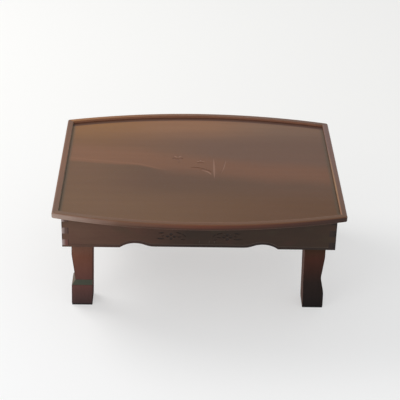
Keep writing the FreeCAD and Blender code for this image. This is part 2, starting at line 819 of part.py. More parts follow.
def build_mount(name, across_sign, back_sign):
    """Wooden block in the corner of the apron box that carries one hinge."""
    centre_across = f"({SIDE_INNER} - mount_length / 2)"
    centre_back = f"({FRONT_INNER} - mount_depth / 2)"
    holes = [
        (
            f"{across_sign} * ({PIVOT_ACROSS} - {centre_across}) + {across}",
            f"{back_sign} * ({LEG_BACK} - {centre_back}) + {back}",
        )
        for across, back in plate_screw_places(across_sign)
    ]
    build_block(
        f"{name}_mount",
        f"{across_sign} * {centre_across}",
        f"{back_sign} * {centre_back}",
        MOUNT_FLOOR,
        "mount_length",
        "mount_depth",
        "mount_thickness",
        holes,
        countersink=False,
    )


def at_pivot(name, across_sign, back_sign):
    """Start a body whose origin is on the pivot, halfway along the leg's depth."""
    return new_body(name, f"{across_sign} * {PIVOT_ACROSS}", f"{back_sign} * {LEG_BACK}", PIVOT_HEIGHT)


def build_bracket(name, across_sign, back_sign):
    """Pressed-steel hinge bracket: a base plate with two rounded cheeks bored for the pin."""
    body = at_pivot(f"{name}_bracket", across_sign, back_sign)
    plate = new_sketch(body, "plate_outline", "XY_Plane", HEAD_ROOM)
    corners = rectangle("-plate_inner", PLATE_OUTER, f"-{CHEEK_OUTER}", CHEEK_OUTER)
    draw_loop(plate, flipped(corners, across_sign))
    pad(body, "base_plate", plate, "plate_thickness")
    cheek = [
        Corner("-cheek_radius", "0", "cheek_radius"),
        Corner("0", "-cheek_radius", "cheek_radius"),
        Corner("cheek_radius", "0"),
        Corner("cheek_top / 2", HEAD_ROOM),
        Corner("-cheek_top / 2", HEAD_ROOM),
    ]
    for label, side in (("near", 1), ("far", -1)):
        sketch = new_sketch(body, f"{label}_cheek_outline", "XZ_Plane", f"{side} * {CHEEK_INNER}")
        draw_loop(sketch, cheek)
        pad(body, f"{label}_cheek", sketch, "cheek_thickness", reverse=side < 0)
    bore = new_sketch(body, "pin_circle", "XZ_Plane")
    draw_circle(bore, "0", "0", "pin_diameter + 2 * pin_seat_gap")
    pocket(body, "pin_bore", bore, f"2 * ({CHEEK_OUTER} + overrun)", both=True)
    holes = new_sketch(body, "plate_circles", "XY_Plane", HEAD_ROOM)
    for across, back in plate_screw_places(across_sign):
        draw_circle(holes, across, back, "screw_diameter + 2 * screw_gap")
    draw_circle(holes, f"{-across_sign} * {RIVET_ACROSS}", "0", "rivet_diameter + 2 * rivet_gap")
    pocket(body, "plate_holes", holes, "plate_thickness", reverse=True)
    low = number(HEAD_ROOM)
    radius = number("screw_diameter / 2 + screw_gap")
    soften(
        body,
        "Chamfer",
        "countersinks",
        "(screw_head - screw_diameter) / 2",
        lambda edge, spot: near(spot.z, low) and is_circle(edge, radius),
    )


def build_spring(name, across_sign, back_sign):
    """Bowed leaf spring over the leg's head: a flat riveted tab, then an arch that presses on the head."""
    body = at_pivot(f"{name}_spring", across_sign, back_sign)
    low = f"({HEAD_ROOM} - spring_thickness)"
    sag = f"({low} - {LEG_HALF} - spring_gap)"
    curve = f"((spring_half_span^2 + {sag}^2) / (2 * {sag}))"
    tab_end = "(-spring_half_span - spring_tab)"
    corners = [
        Corner(tab_end, low),
        Corner("-spring_half_span", low, curve, 1),
        Corner("spring_half_span", low),
        Corner("spring_half_span", HEAD_ROOM, curve, -1),
        Corner("-spring_half_span", HEAD_ROOM),
        Corner(tab_end, HEAD_ROOM),
    ]
    sketch = new_sketch(body, "leaf_outline", "XZ_Plane")
    draw_loop(sketch, flipped(corners, across_sign))
    pad(body, "leaf", sketch, "spring_width", both=True)
    hole = new_sketch(body, "rivet_circle", "XY_Plane", low)
    draw_circle(hole, f"{-across_sign} * {RIVET_ACROSS}", "0", "rivet_diameter + 2 * rivet_gap")
    pocket(body, "rivet_hole", hole, "spring_thickness", reverse=True)


def build_pin(name, across_sign, back_sign):
    """Pivot pin across both cheeks and the leg, its ends flush with the cheeks."""
    body = at_pivot(f"{name}_pin", across_sign, back_sign)
    sketch = new_sketch(body, "pin_circle", "XZ_Plane")
    draw_circle(sketch, "0", "0", "pin_diameter")
    pad(body, "pin", sketch, f"2 * {CHEEK_OUTER}", both=True)
    soften(body, "Chamfer", "pin_ends", "pin_chamfer", lambda edge, spot: not near(spot.y, 0))


def leg_place(height, notch="0"):
    """Outer edge of a leg at a height above the floor, from the pivot: leaning out, drawn in by a notch."""
    return f"({LEG_HALF} + {LEAN_PER_HEIGHT} * ({PIVOT_HEIGHT} - {height}) - {notch})"


def build_leg(name, end, across_sign, back_sign):
    """Leg with a rounded head on the pin, tapered outer and long-side faces, and a square foot block."""
    body = at_pivot(f"{name}_leg", across_sign, back_sign)
    head_radius = f"({LEG_HALF} - head_flat / 2)"
    shoulder = "(head_flat / 2)"
    foot = "pad_thickness"
    ankle = f"{end}_ankle_rise"
    ankle_notch = f"{end}_ankle_notch"
    block = f"{end}_block_rise"
    below = f"- {PIVOT_HEIGHT}"
    corners = [
        Corner(f"{leg_place(foot)} - leg_width", f"{foot} {below}"),
        Corner(leg_place(foot), f"{foot} {below}"),
        Corner(leg_place(block), f"{block} {below}"),
        Corner(leg_place(ankle, ankle_notch), f"{ankle} {below}"),
        Corner(leg_place("taper_start"), f"taper_start {below}"),
        Corner(LEG_HALF, shoulder, head_radius),
        Corner(shoulder, LEG_HALF),
        Corner(f"-{shoulder}", LEG_HALF, head_radius),
        Corner(f"-{LEG_HALF}", shoulder),
    ]
    sketch = new_sketch(body, "leg_outline", "XZ_Plane")
    draw_loop(sketch, flipped(corners, across_sign))
    pad(body, "leg_blank", sketch, "leg_depth", both=True)
    face = "(leg_depth / 2)"
    notch = [
        Corner(face, f"{block} {below}"),
        Corner(face, f"taper_start {below}"),
        Corner(f"{face} - {ankle_notch}", f"{ankle} {below}"),
    ]
    cut = new_sketch(body, "notch_outline", "YZ_Plane")
    draw_loop(cut, flipped(notch, back_sign))
    pocket(body, "long_side_notch", cut, "4 * leg_width", both=True)
    bore = new_sketch(body, "pin_circle", "XZ_Plane")
    draw_circle(bore, "0", "0", "pin_diameter + 2 * pin_run_gap")
    pocket(body, "pin_bore", bore, "leg_depth + 2 * overrun", both=True)


def runs_down(edge):
    """Tell whether an edge runs mostly up and down."""
    if len(edge.Vertexes) < 2:
        return False
    run = edge.Vertexes[1].Point - edge.Vertexes[0].Point
    return abs(run.z) > run.Length / 2


def build_pad(name, across_sign, back_sign):
    """Thin pad under a foot."""
    across = f"{across_sign} * ({PIVOT_ACROSS} + {leg_place('pad_thickness')} - {LEG_HALF})"
    body = new_body(f"{name}_foot_pad", across, f"{back_sign} * {LEG_BACK}")
    half = "(leg_width / 2 - pad_inset)"
    depth = "(leg_depth / 2 - pad_inset)"
    sketch = new_sketch(body, "pad_outline", "XY_Plane")
    draw_loop(sketch, rectangle(f"-{half}", half, f"-{depth}", depth))
    pad(body, "pad", sketch, "pad_thickness")
    soften(body, "Fillet", "pad_corners", "pad_corner_round", lambda edge, spot: runs_down(edge))


def build_stop(name, across_sign, back_sign):
    """Round rubber stop on the side board that the open leg leans against."""
    stop = doc.addObject("Part::Cylinder", f"{name}_stop")
    stop.Label = f"{name}_stop"
    stop.setExpression("Radius", linked("stop_radius"))
    stop.setExpression("Height", linked(STOP_THICKNESS))
    stop.Placement.Rotation = FreeCAD.Rotation(FreeCAD.Vector(0, 1, 0), -90 * across_sign)
    stop.setExpression("Placement.Base.x", linked(f"{across_sign} * {SIDE_INNER}"))
    stop.setExpression("Placement.Base.y", linked(f"{back_sign} * {LEG_BACK}"))
    stop.setExpression("Placement.Base.z", linked(STOP_HEIGHT))
    parts[stop.Label] = stop


# Fasteners


def build_screws(name, across, back, low, length, steps_across, steps_back):
    """Row or grid of like countersunk screws, their heads flush at the given height."""
    body = new_body(name, across, back, low)
    profile = new_sketch(body, "screw_profile", "XZ_Plane")
    corners = [
        Corner("0", "0"),
        Corner("screw_head / 2", "0"),
        Corner("screw_diameter / 2", "screw_head_height"),
        Corner("screw_diameter / 2", f"{length} - screw_tip"),
        Corner("0", length),
    ]
    draw_loop(profile, corners)
    turn = body.newObject("PartDesign::Revolution", "screw")
    turn.Profile = profile
    turn.ReferenceAxis = (profile, ["V_Axis"])
    finish_feature(body, turn)
    slot = new_sketch(body, "slot_outline", "XY_Plane")
    draw_loop(
        slot,
        rectangle(
            "-screw_slot_length / 2", "screw_slot_length / 2", "-screw_slot_width / 2", "screw_slot_width / 2"
        ),
    )
    cut = pocket(body, "driver_slot", slot, "screw_slot_depth", reverse=True)
    grid = body.newObject("PartDesign::LinearPattern", "screw_grid")
    grid.Originals = [turn, cut]
    grid.Direction = (origin_feature(body, "X_Axis"), [""])
    grid.Direction2 = (origin_feature(body, "Y_Axis"), [""])
    for suffix, (count, span) in (("", steps_across), ("2", steps_back)):
        setattr(grid, f"Occurrences{suffix}", count)
        grid.setExpression(f"Length{suffix}", linked(span))
    finish_feature(body, grid)
    if len(body.Shape.Solids) != steps_across[0] * steps_back[0]:
        raise RuntimeError(f"{name} has {len(body.Shape.Solids)} screws")


def build_fasteners():
    """Screws of the battens and cleats, and the rivets of the springs."""
    build_screws(
        "batten_screws",
        "-batten_offset",
        f"-{BATTEN_SCREW_REACH}",
        f"{RIM_FLOOR} - {BATTEN_HEIGHT}",
        f"({BATTEN_HEIGHT} + panel_bite)",
        (2, "2 * batten_offset"),
        (3, f"2 * {BATTEN_SCREW_REACH}"),
    )
    build_screws(
        "long_cleat_screws",
        f"-{LONG_CLEAT_SCREW_REACH}",
        f"-({FRONT_INNER} - cleat_size / 2)",
        f"{RIM_FLOOR} - cleat_size",
        "(cleat_size + panel_bite)",
        (3, f"2 * {LONG_CLEAT_SCREW_REACH}"),
        (2, f"2 * ({FRONT_INNER} - cleat_size / 2)"),
    )
    build_screws(
        "end_cleat_screws",
        f"-({SIDE_INNER} - cleat_size / 2)",
        f"-{SHORT_CLEAT_SCREW_REACH}",
        f"{RIM_FLOOR} - cleat_size",
        "(cleat_size + panel_bite)",
        (2, f"2 * ({SIDE_INNER} - cleat_size / 2)"),
        (2, f"2 * {SHORT_CLEAT_SCREW_REACH}"),
    )
    build_rivets()


def build_rivets():
    """Rivets that hold the four springs to the brackets, heads below the tabs."""
    rivet_across = f"({PIVOT_ACROSS} - {RIVET_ACROSS})"
    body = new_body("spring_rivets", f"-{rivet_across}", f"-{LEG_BACK}", PLATE_FLOOR)
    seat = "(-spring_thickness)"
    dome = "(((rivet_head / 2)^2 + rivet_head_height^2) / (2 * rivet_head_height))"
    corners = [
        Corner("0", f"{seat} - rivet_head_height", dome),
        Corner("rivet_head / 2", seat),
        Corner("rivet_diameter / 2", seat),
        Corner("rivet_diameter / 2", "plate_thickness"),
        Corner("0", "plate_thickness"),
    ]
    profile = new_sketch(body, "rivet_profile", "XZ_Plane")
    draw_loop(profile, corners)
    turn = body.newObject("PartDesign::Revolution", "rivet")
    turn.Profile = profile
    turn.ReferenceAxis = (profile, ["V_Axis"])
    finish_feature(body, turn)
    grid = body.newObject("PartDesign::LinearPattern", "rivet_grid")
    grid.Originals = [turn]
    grid.Direction = (origin_feature(body, "X_Axis"), [""])
    grid.Direction2 = (origin_feature(body, "Y_Axis"), [""])
    grid.Occurrences = 2
    grid.Occurrences2 = 2
    grid.setExpression("Length", linked(f"2 * {rivet_across}"))
    grid.setExpression("Length2", linked(f"2 * {LEG_BACK}"))
    finish_feature(body, grid)


def build_corner(end, side):
    """Everything that belongs to one leg: mount, bracket, spring, pin, screws, stop, leg and pad."""
    across_sign = ENDS[end]
    back_sign = LONG_SIDES[side]
    name = f"{side}_{end}"
    build_mount(name, across_sign, back_sign)
    build_bracket(name, across_sign, back_sign)
    build_spring(name, across_sign, back_sign)
    build_pin(name, across_sign, back_sign)
    build_leg(name, end, across_sign, back_sign)
    build_pad(name, across_sign, back_sign)
    build_stop(name, across_sign, back_sign)
    first = "plate_screw_inner" if across_sign > 0 else "plate_screw_outer"
    build_screws(
        f"{name}_bracket_screws",
        f"{across_sign} * {PIVOT_ACROSS} - {first}",
        f"{back_sign} * {LEG_BACK} - plate_screw_spread / 2",
        PLATE_FLOOR,
        "(plate_thickness + bracket_bite)",
        (2, "plate_screw_outer + plate_screw_inner"),
        (2, "plate_screw_spread"),
    )


def check_and_write():
    """Refuse any failed object or bad solid, then write each piece to its own file."""
    doc.recompute()
    for item in doc.Objects:
        if "Invalid" in item.State or "Error" in item.State:
            raise RuntimeError(f"{item.Label} failed: {item.State}")
    for name, piece in parts.items():
        shape = piece.Shape
        if shape.isNull() or not shape.isValid() or not shape.Solids:
            raise RuntimeError(f"{name} has no valid solid")
    os.makedirs("parts", exist_ok=True)
    for name, piece in parts.items():
        piece.Shape.exportStep(f"parts/{name}.step")
        print(f"{name}: {len(piece.Shape.Solids)} solid, {piece.Shape.Volume / 1000:.2f} cm3")


fill_sheet()
build_panel()
for rail_end, rail_sign in ENDS.items():
    build_end_rail(f"{rail_end}_rim_rail", rail_sign)
    build_end_board(f"{rail_end}_apron", rail_sign)
for rail_side, rail_sign in LONG_SIDES.items():
    build_long_rail(f"{rail_side}_rim_rail", rail_sign)
    build_long_board(f"{rail_side}_apron", rail_sign)
build_under_frame()
for leg_end in ENDS:
    for leg_side in LONG_SIDES:
        build_corner(leg_end, leg_side)
build_fasteners()
check_and_write()
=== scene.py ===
"""Looks of a low folding tea table: stained and lacquered wood, hinge fittings, studio and camera.

All lengths are in metres. The origin is on the floor under the middle of the table, +X runs along its length, -Y
points to the viewer and +Z up.
"""

import logging
import math
from collections.abc import Mapping, Sequence
from dataclasses import dataclass, field
from enum import Enum
from functools import cached_property, reduce

import bmesh
import bpy
from mathutils import Matrix, Vector

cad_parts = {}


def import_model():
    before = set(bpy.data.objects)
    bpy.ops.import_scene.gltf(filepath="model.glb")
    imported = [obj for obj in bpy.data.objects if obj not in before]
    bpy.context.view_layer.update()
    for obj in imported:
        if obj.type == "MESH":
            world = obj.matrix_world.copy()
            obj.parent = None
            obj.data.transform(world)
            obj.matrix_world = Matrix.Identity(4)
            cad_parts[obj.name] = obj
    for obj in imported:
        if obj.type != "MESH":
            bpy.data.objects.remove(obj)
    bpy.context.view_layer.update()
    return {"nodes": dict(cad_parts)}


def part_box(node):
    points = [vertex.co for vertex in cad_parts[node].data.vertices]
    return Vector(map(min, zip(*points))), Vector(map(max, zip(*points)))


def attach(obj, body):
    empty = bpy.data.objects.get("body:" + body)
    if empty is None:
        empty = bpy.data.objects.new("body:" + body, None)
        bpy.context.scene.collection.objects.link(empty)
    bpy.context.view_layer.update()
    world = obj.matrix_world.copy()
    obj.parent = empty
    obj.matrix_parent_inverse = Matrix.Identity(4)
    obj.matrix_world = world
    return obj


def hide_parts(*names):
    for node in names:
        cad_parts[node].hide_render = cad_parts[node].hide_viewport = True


log = logging.getLogger("tea_table")

Colour = tuple[float, float, float]
Fade = tuple[tuple[float, Colour], ...]


def shade(red: int, green: int, blue: int) -> Colour:
    """Turn screen values of 0 to 255 into a linear colour."""
    screen = (channel / 255 for channel in (red, green, blue))
    return tuple(c / 12.92 if c <= 0.04045 else ((c + 0.055) / 1.055) ** 2.4 for c in screen)


def fade(*stops: tuple[float, int, int, int]) -> Fade:
    """Turn places with screen values into places with linear colours."""
    return tuple((place, shade(*screen)) for place, *screen in stops)


class Grain(Enum):
    """Which way the fibres of a piece of wood run."""

    LENGTHWISE = 0
    CROSSWISE = 1
    UPRIGHT = 2

    def stretched(self, along: float, across: float) -> tuple[float, ...]:
        """Scale for each axis of a texture that is drawn out along the fibres."""
        return tuple(along if axis == self.value else across for axis in range(3))


class Flank(Enum):
    """Flank of the table, with the sign of its side of an axis."""

    @property
    def word(self) -> str:
        """The flank's name as the pieces carry it."""
        return self.name.lower()


class End(Flank):
    """Left or right end of the table, on the X axis."""

    LEFT = -1
    RIGHT = 1


class Side(Flank):
    """Front or rear long side of the table, on the Y axis."""

    FRONT = -1
    REAR = 1


# Shader tools


class Signal:
    """Output socket of a shader node, with arithmetic that adds Math nodes."""

    def __init__(self, bench: "Bench", socket: bpy.types.NodeSocket) -> None:
        """Wrap an output of a node that stands on a bench."""
        self.bench = bench
        self.socket = socket

    def maths(self, operation: str, *values: "Signal | float") -> "Signal":
        """Add a Math node that works on some values, in order."""
        return self.bench.node("Math", {"operation": operation}, dict(enumerate(values)))

    def __add__(self, other: "Signal | float") -> "Signal":
        """Sum of two values."""
        return self.maths("ADD", self, other)

    __radd__ = __add__

    def __sub__(self, other: "Signal | float") -> "Signal":
        """This value less another."""
        return self.maths("SUBTRACT", self, other)

    def __rsub__(self, other: float) -> "Signal":
        """A number less this value."""
        return self.maths("SUBTRACT", other, self)

    def __mul__(self, other: "Signal | float") -> "Signal":
        """Product of two values."""
        return self.maths("MULTIPLY", self, other)

    def __truediv__(self, other: "Signal | float") -> "Signal":
        """This value divided by another."""
        return self.maths("DIVIDE", self, other)

    def __pow__(self, other: "Signal | float") -> "Signal":
        """This value raised to a power."""
        return self.maths("POWER", self, other)

    def __abs__(self) -> "Signal":
        """Size of the value without its sign."""
        return self.maths("ABSOLUTE", self)

    def wave(self) -> "Signal":
        """Sine of the value."""
        return self.maths("SINE", self)

    def larger(self, other: "Signal | float") -> "Signal":
        """The larger of two values."""
        return self.maths("MAXIMUM", self, other)

    def smaller(self, other: "Signal | float") -> "Signal":
        """The smaller of two values."""
        return self.maths("MINIMUM", self, other)

    def ease(self, start: float, stop: float) -> "Signal":
        """Turn the value into a mask that goes softly from 0 at start to 1 at stop.

        Args:
            start: Value at which the mask is 0.
            stop: Value at which the mask is 1; it may be the lower one.

        Returns:
            The mask.
        """
        low, high = min(start, stop), max(start, stop)
        mask = self.bench.node(
            "MapRange",
            {"interpolation_type": "SMOOTHSTEP"},
            {"Value": self, "From Min": low, "From Max": high},
        )
        return mask if start < stop else 1 - mask


class Bench:
    """Workbench on which one material's nodes are laid out."""

    def __init__(self, name: str, world: bpy.types.World | None = None) -> None:
        """Start a material with only its output.

        Args:
            name: The material's name.
            world: World to lay out instead of a material.
        """
        self.material = world or bpy.data.materials.new(name)
        self.material.use_nodes = True
        self.tree = self.material.node_tree
        self.tree.nodes.clear()
        self.output = self.tree.nodes.new(f"ShaderNodeOutput{'World' if world else 'Material'}")

    def node(
        self,
        kind: str,
        settings: Mapping[str, object] | None = None,
        sockets: Mapping[int | str, object] | None = None,
        result: int | str = 0,
    ) -> Signal:
        """Add a node of any kind.

        Args:
            kind: The node's type without its usual prefix.
            settings: Its settings, set first; "stops" fills a colour ramp with (place, colour) pairs.
            sockets: Values or links of its sockets by index, identifier or name.
            result: Index, identifier or name of the output to hand back.

        Returns:
            The output asked for.
        """
        node = self.tree.nodes.new(f"ShaderNode{kind}")
        for key, setting in (settings or {}).items():
            if key == "stops":
                ramp = node.color_ramp.elements
                for index, (place, colour) in enumerate(setting):
                    stop = ramp[index] if index < len(ramp) else ramp.new(place)
                    stop.position, stop.color = place, (*colour, 1)
            else:
                setattr(node, key, setting)
        for key, given in (sockets or {}).items():
            socket = self.find(node.inputs, key)
            if isinstance(given, Signal):
                self.tree.links.new(given.socket, socket)
            elif socket.type == "RGBA" and len(given) == 3:
                socket.default_value = (*given, 1)
            else:
                socket.default_value = given
        return Signal(self, self.find(node.outputs, result))

    @staticmethod
    def find(sockets: Sequence[bpy.types.NodeSocket], key: int | str) -> bpy.types.NodeSocket:
        """Find a socket by index or identifier, or else by name."""
        same = [socket for socket in sockets if socket.identifier == key]
        return same[0] if same else sockets[key]

    @cached_property
    def place(self) -> Signal:
        """Place on the piece, in the table's frame."""
        return self.node("TexCoord", result="Object")

    @cached_property
    def spot(self) -> tuple[Signal, Signal, Signal]:
        """How far along, back and up the place is."""
        return self.split(self.place)

    @cached_property
    def facing(self) -> tuple[Signal, Signal, Signal]:
        """How far the surface faces along, back and up."""
        return self.split(self.node("TexCoord", result="Normal"))

    def split(self, vector: Signal) -> tuple[Signal, ...]:
        """Take a vector apart into its X, Y and Z."""
        parts = self.node("SeparateXYZ", None, {0: vector}).socket.node.outputs
        return tuple(Signal(self, part) for part in parts)

    def stretch(self, vector: Signal, scales: Sequence[float], shift: Sequence[float] = (0, 0, 0)) -> Signal:
        """Scale a vector along each axis, then shift it."""
        return self.node("VectorMath", {"operation": "MULTIPLY_ADD"}, {0: vector, 1: scales, 2: shift})

    def noise(
        self,
        scales: Sequence[float],
        shift: Sequence[float] = (0, 0, 0),
        detail: float = 2.0,
        roughness: float = 0.5,
    ) -> Signal:
        """Cloudy noise from 0 to 1 over the piece.

        Args:
            scales: How many features come to a metre along each axis.
            shift: Shifts the noise, in features.
            detail: Octaves of finer noise.
            roughness: Strength of the finer octaves.

        Returns:
            The noise.
        """
        place = self.stretch(self.place, scales, shift)
        sockets = {"Vector": place, "Scale": 1.0, "Detail": detail, "Roughness": roughness}
        return self.node("TexNoise", None, sockets)

    def blend(self, mask: Signal | float, under: object, over: object, way: str = "MIX") -> Signal:
        """Lay one colour over another.

        Args:
            mask: Where the upper colour shows.
            under: Lower colour.
            over: Upper colour.
            way: How the two are combined.

        Returns:
            The combined colour.
        """
        return self.node(
            "Mix",
            {"data_type": "RGBA", "blend_type": way},
            {"Factor_Float": mask, "A_Color": under, "B_Color": over},
            "Result_Color",
        )

    def coats(self, colour: Signal | Colour, *coats: tuple[Signal, Signal | Colour]) -> Signal:
        """Lay tones over a colour one after another, each by its own mask."""
        return reduce(lambda under, coat: self.blend(coat[0], under, coat[1]), coats, colour)

    def ramp(self, value: Signal, stops: Fade) -> Signal:
        """Colour that changes with a value.

        Args:
            value: The value.
            stops: Values and their colours, in rising order.

        Returns:
            The colour.
        """
        first, last = stops[0][0], stops[-1][0]
        shares = [((at - first) / (last - first), colour) for at, colour in stops]
        factor = (value - first) / (last - first)
        return self.node("ValToRGB", {"stops": shares}, {"Fac": factor})

    def relief(self, height: Signal, depth: float, softened: float = 0.0) -> Signal:
        """Surface normal of a fine relief.

        Args:
            height: Height from 0 to 1.
            depth: Depth of the relief in metres.
            softened: Radius to which sharp edges look eased.

        Returns:
            The normal.
        """
        sockets = {"Height": height, "Distance": depth, "Strength": 1.0}
        if softened:
            sockets["Normal"] = self.node("Bevel", {"samples": 6}, {"Radius": softened})
        return self.node("Bump", None, sockets)

    def ends(self, grain: Grain) -> Signal:
        """Mask of the end grain of wood with its fibres one way."""
        return abs(self.facing[grain.value]).ease(0.8, 0.95)

    def finish(
        self,
        colour: Signal | Colour,
        roughness: Signal | float,
        normal: Signal,
        others: Mapping[str, float] | None = None,
    ) -> bpy.types.Material:
        """Close the material with a Principled shader."""
        sockets = {"Base Color": colour, "Roughness": roughness, "Normal": normal, **(others or {})}
        return self.close(self.node("BsdfPrincipled", None, sockets))

    def close(self, surface: Signal) -> bpy.types.Material:
        """Close the material with any shader."""
        self.tree.links.new(surface.socket, self.output.inputs["Surface"])
        return self.material


# Finishes


@dataclass(frozen=True)
class LacqueredWood:
    """Dark-stained wood under satin lacquer, with fibres, growth rings and open pores.

    Attributes:
        name: The finish's name.
        grain: Way of the fibres.
        seed: Shifts the grain so that no two pieces match.
        tones: Places along the fibres and the stain's tone there.
        ring: Distance between growth rings.
        contrast: How far the grain lightens and darkens the stain.
        pore: Depth of the pores.
        roughness: Roughness of the lacquer.
        gloss: Strength of the lacquer's reflection.
        edge: Tone of the rounded edges, partly wear and partly painted highlight; a dark one is painted shade.
        edge_share: How much of the edge tone shows.
        end: Tone of end grain.
        end_share: How much of the end grain's tone shows.
        softened: Radius to which sharp edges look eased.
    """

    name: str
    grain: Grain
    seed: float
    tones: Fade = ()
    ring: float = 0.012
    contrast: float = 0.12
    pore: float = 0.00012
    roughness: float = 0.38
    gloss: float = 0.2
    edge: Colour = shade(150, 98, 70)
    edge_share: float = 0.2
    end: Colour = shade(34, 22, 18)
    end_share: float = 0.6
    softened: float = 0.0

    def stain(self, bench: Bench) -> Signal | Colour:
        """Colour of the stain under the grain."""
        return bench.ramp(bench.spot[self.grain.value], self.tones)

    def fibres(self, bench: Bench, stain: Signal | Colour) -> tuple[Signal, Signal]:
        """Lay the grain over the stain.

        Args:
            bench: Bench to work on.
            stain: Colour of the stain.

        Returns:
            The colour, and the height of the pores and fibres.
        """
        shift = (self.seed * 3.7, self.seed * 5.3, self.seed * 7.9)
        drift = bench.noise(self.grain.stretched(2.2, 9), shift)
        streaks = bench.noise(self.grain.stretched(5, 110), shift, 5, 0.6)
        fibres = bench.noise(self.grain.stretched(40, 900), shift, 3, 0.6)
        pores = bench.noise(self.grain.stretched(110, 2600), shift, 1).ease(0.62, 0.72)
        radial = bench.spot[0 if self.grain is Grain.CROSSWISE else 1]
        rings = ((radial + drift * 0.09) * (2 * math.pi / self.ring)).wave() * 0.5 + 0.5
        tone = streaks * 0.5 + fibres * 0.2 + rings * 0.08 + drift * 0.4
        dark = [1 - self.contrast * share for share in (1.0, 1.15, 1.25)]
        light = [1 + self.contrast * share for share in (1.0, 0.95, 0.85)]
        colour = bench.blend(1.0, stain, bench.blend(tone.ease(0.3, 0.9), dark, light), "MULTIPLY")
        return bench.blend(pores * 0.3, colour, self.end), streaks * 0.3 + fibres * 0.5 - pores * 0.6

    def edges(self, bench: Bench) -> Signal:
        """Mask of rounded edges that run level."""
        up = abs(bench.facing[2])
        return (up * (1 - up * up).larger(0.0) ** 0.5).ease(0.12, 0.42)

    def extras(self, bench: Bench, colour: Signal, rough: Signal) -> tuple[Signal, Signal]:
        """Add to the colour and the roughness what only one kind of piece has; plain wood has nothing."""
        return colour, rough

    def make(self) -> bpy.types.Material:
        """Make the material.

        Returns:
            The material.
        """
        bench = Bench(self.name)
        colour, height = self.fibres(bench, self.stain(bench))
        # Rounded edges take the edge tone: partly wear and partly painted highlight, on the legs painted shade.
        colour = bench.blend(self.edges(bench) * self.edge_share, colour, self.edge)
        ends = bench.ends(self.grain)
        colour = bench.blend(ends * self.end_share, colour, self.end)
        colour, rough = self.extras(bench, colour, self.roughness + height * 0.08 + ends * 0.12)
        lacquer = {"Specular IOR Level": self.gloss, "Coat Weight": 0.06, "Coat Roughness": 0.22}
        return bench.finish(colour, rough, bench.relief(height, self.pore, self.softened), lacquer)


@dataclass(frozen=True)
class Recess:
    """The tray's recess seen from above, along whose walls shade, reflections and highlights are painted.

    Attributes:
        half: Distance of the end rails' inner walls from the middle of the table.
        curve: Radius of the long rails' inner walls.
        centre: How far from the middle of the table that radius is struck.
    """

    half: float = 0.287
    curve: float = 1.105
    centre: float = 0.865

    def past_end(self, bench: Bench) -> Signal:
        """Distance past the end rails' inner walls, below 0 inside the recess."""
        return abs(bench.spot[0]) - self.half

    def past_side(self, bench: Bench) -> Signal:
        """Distance past the long rails' inner walls, below 0 inside the recess.

        Args:
            bench: Bench to work on.

        Returns:
            The distance.
        """
        folded = bench.node("VectorMath", {"operation": "ABSOLUTE"}, {0: bench.place})
        centred = bench.stretch(folded, (1, 1, 0), (0, self.centre, 0))
        return bench.node("VectorMath", {"operation": "LENGTH"}, {0: centred}, "Value") - self.curve


@dataclass(frozen=True)
class Carving:
    """Carving in two depths; the pale tone of its shallow strokes is partly painted highlight on the relief, the dark
    tone of its deep ones partly painted shade in the cuts.

    Attributes:
        shallow: Depth of the pale strokes.
        deep: Depth of the dark strokes.
    """

    shallow: float
    deep: float

    def strokes(self, depth: Signal, face: Signal) -> tuple[Signal, Signal]:
        """Masks of the pale and of the dark strokes, from the depth below a face and the face's own mask."""
        pale = depth.ease(self.shallow * 0.3, self.shallow * 0.8) * face
        return pale, depth.ease(self.shallow * 1.3, self.deep * 0.9) * face


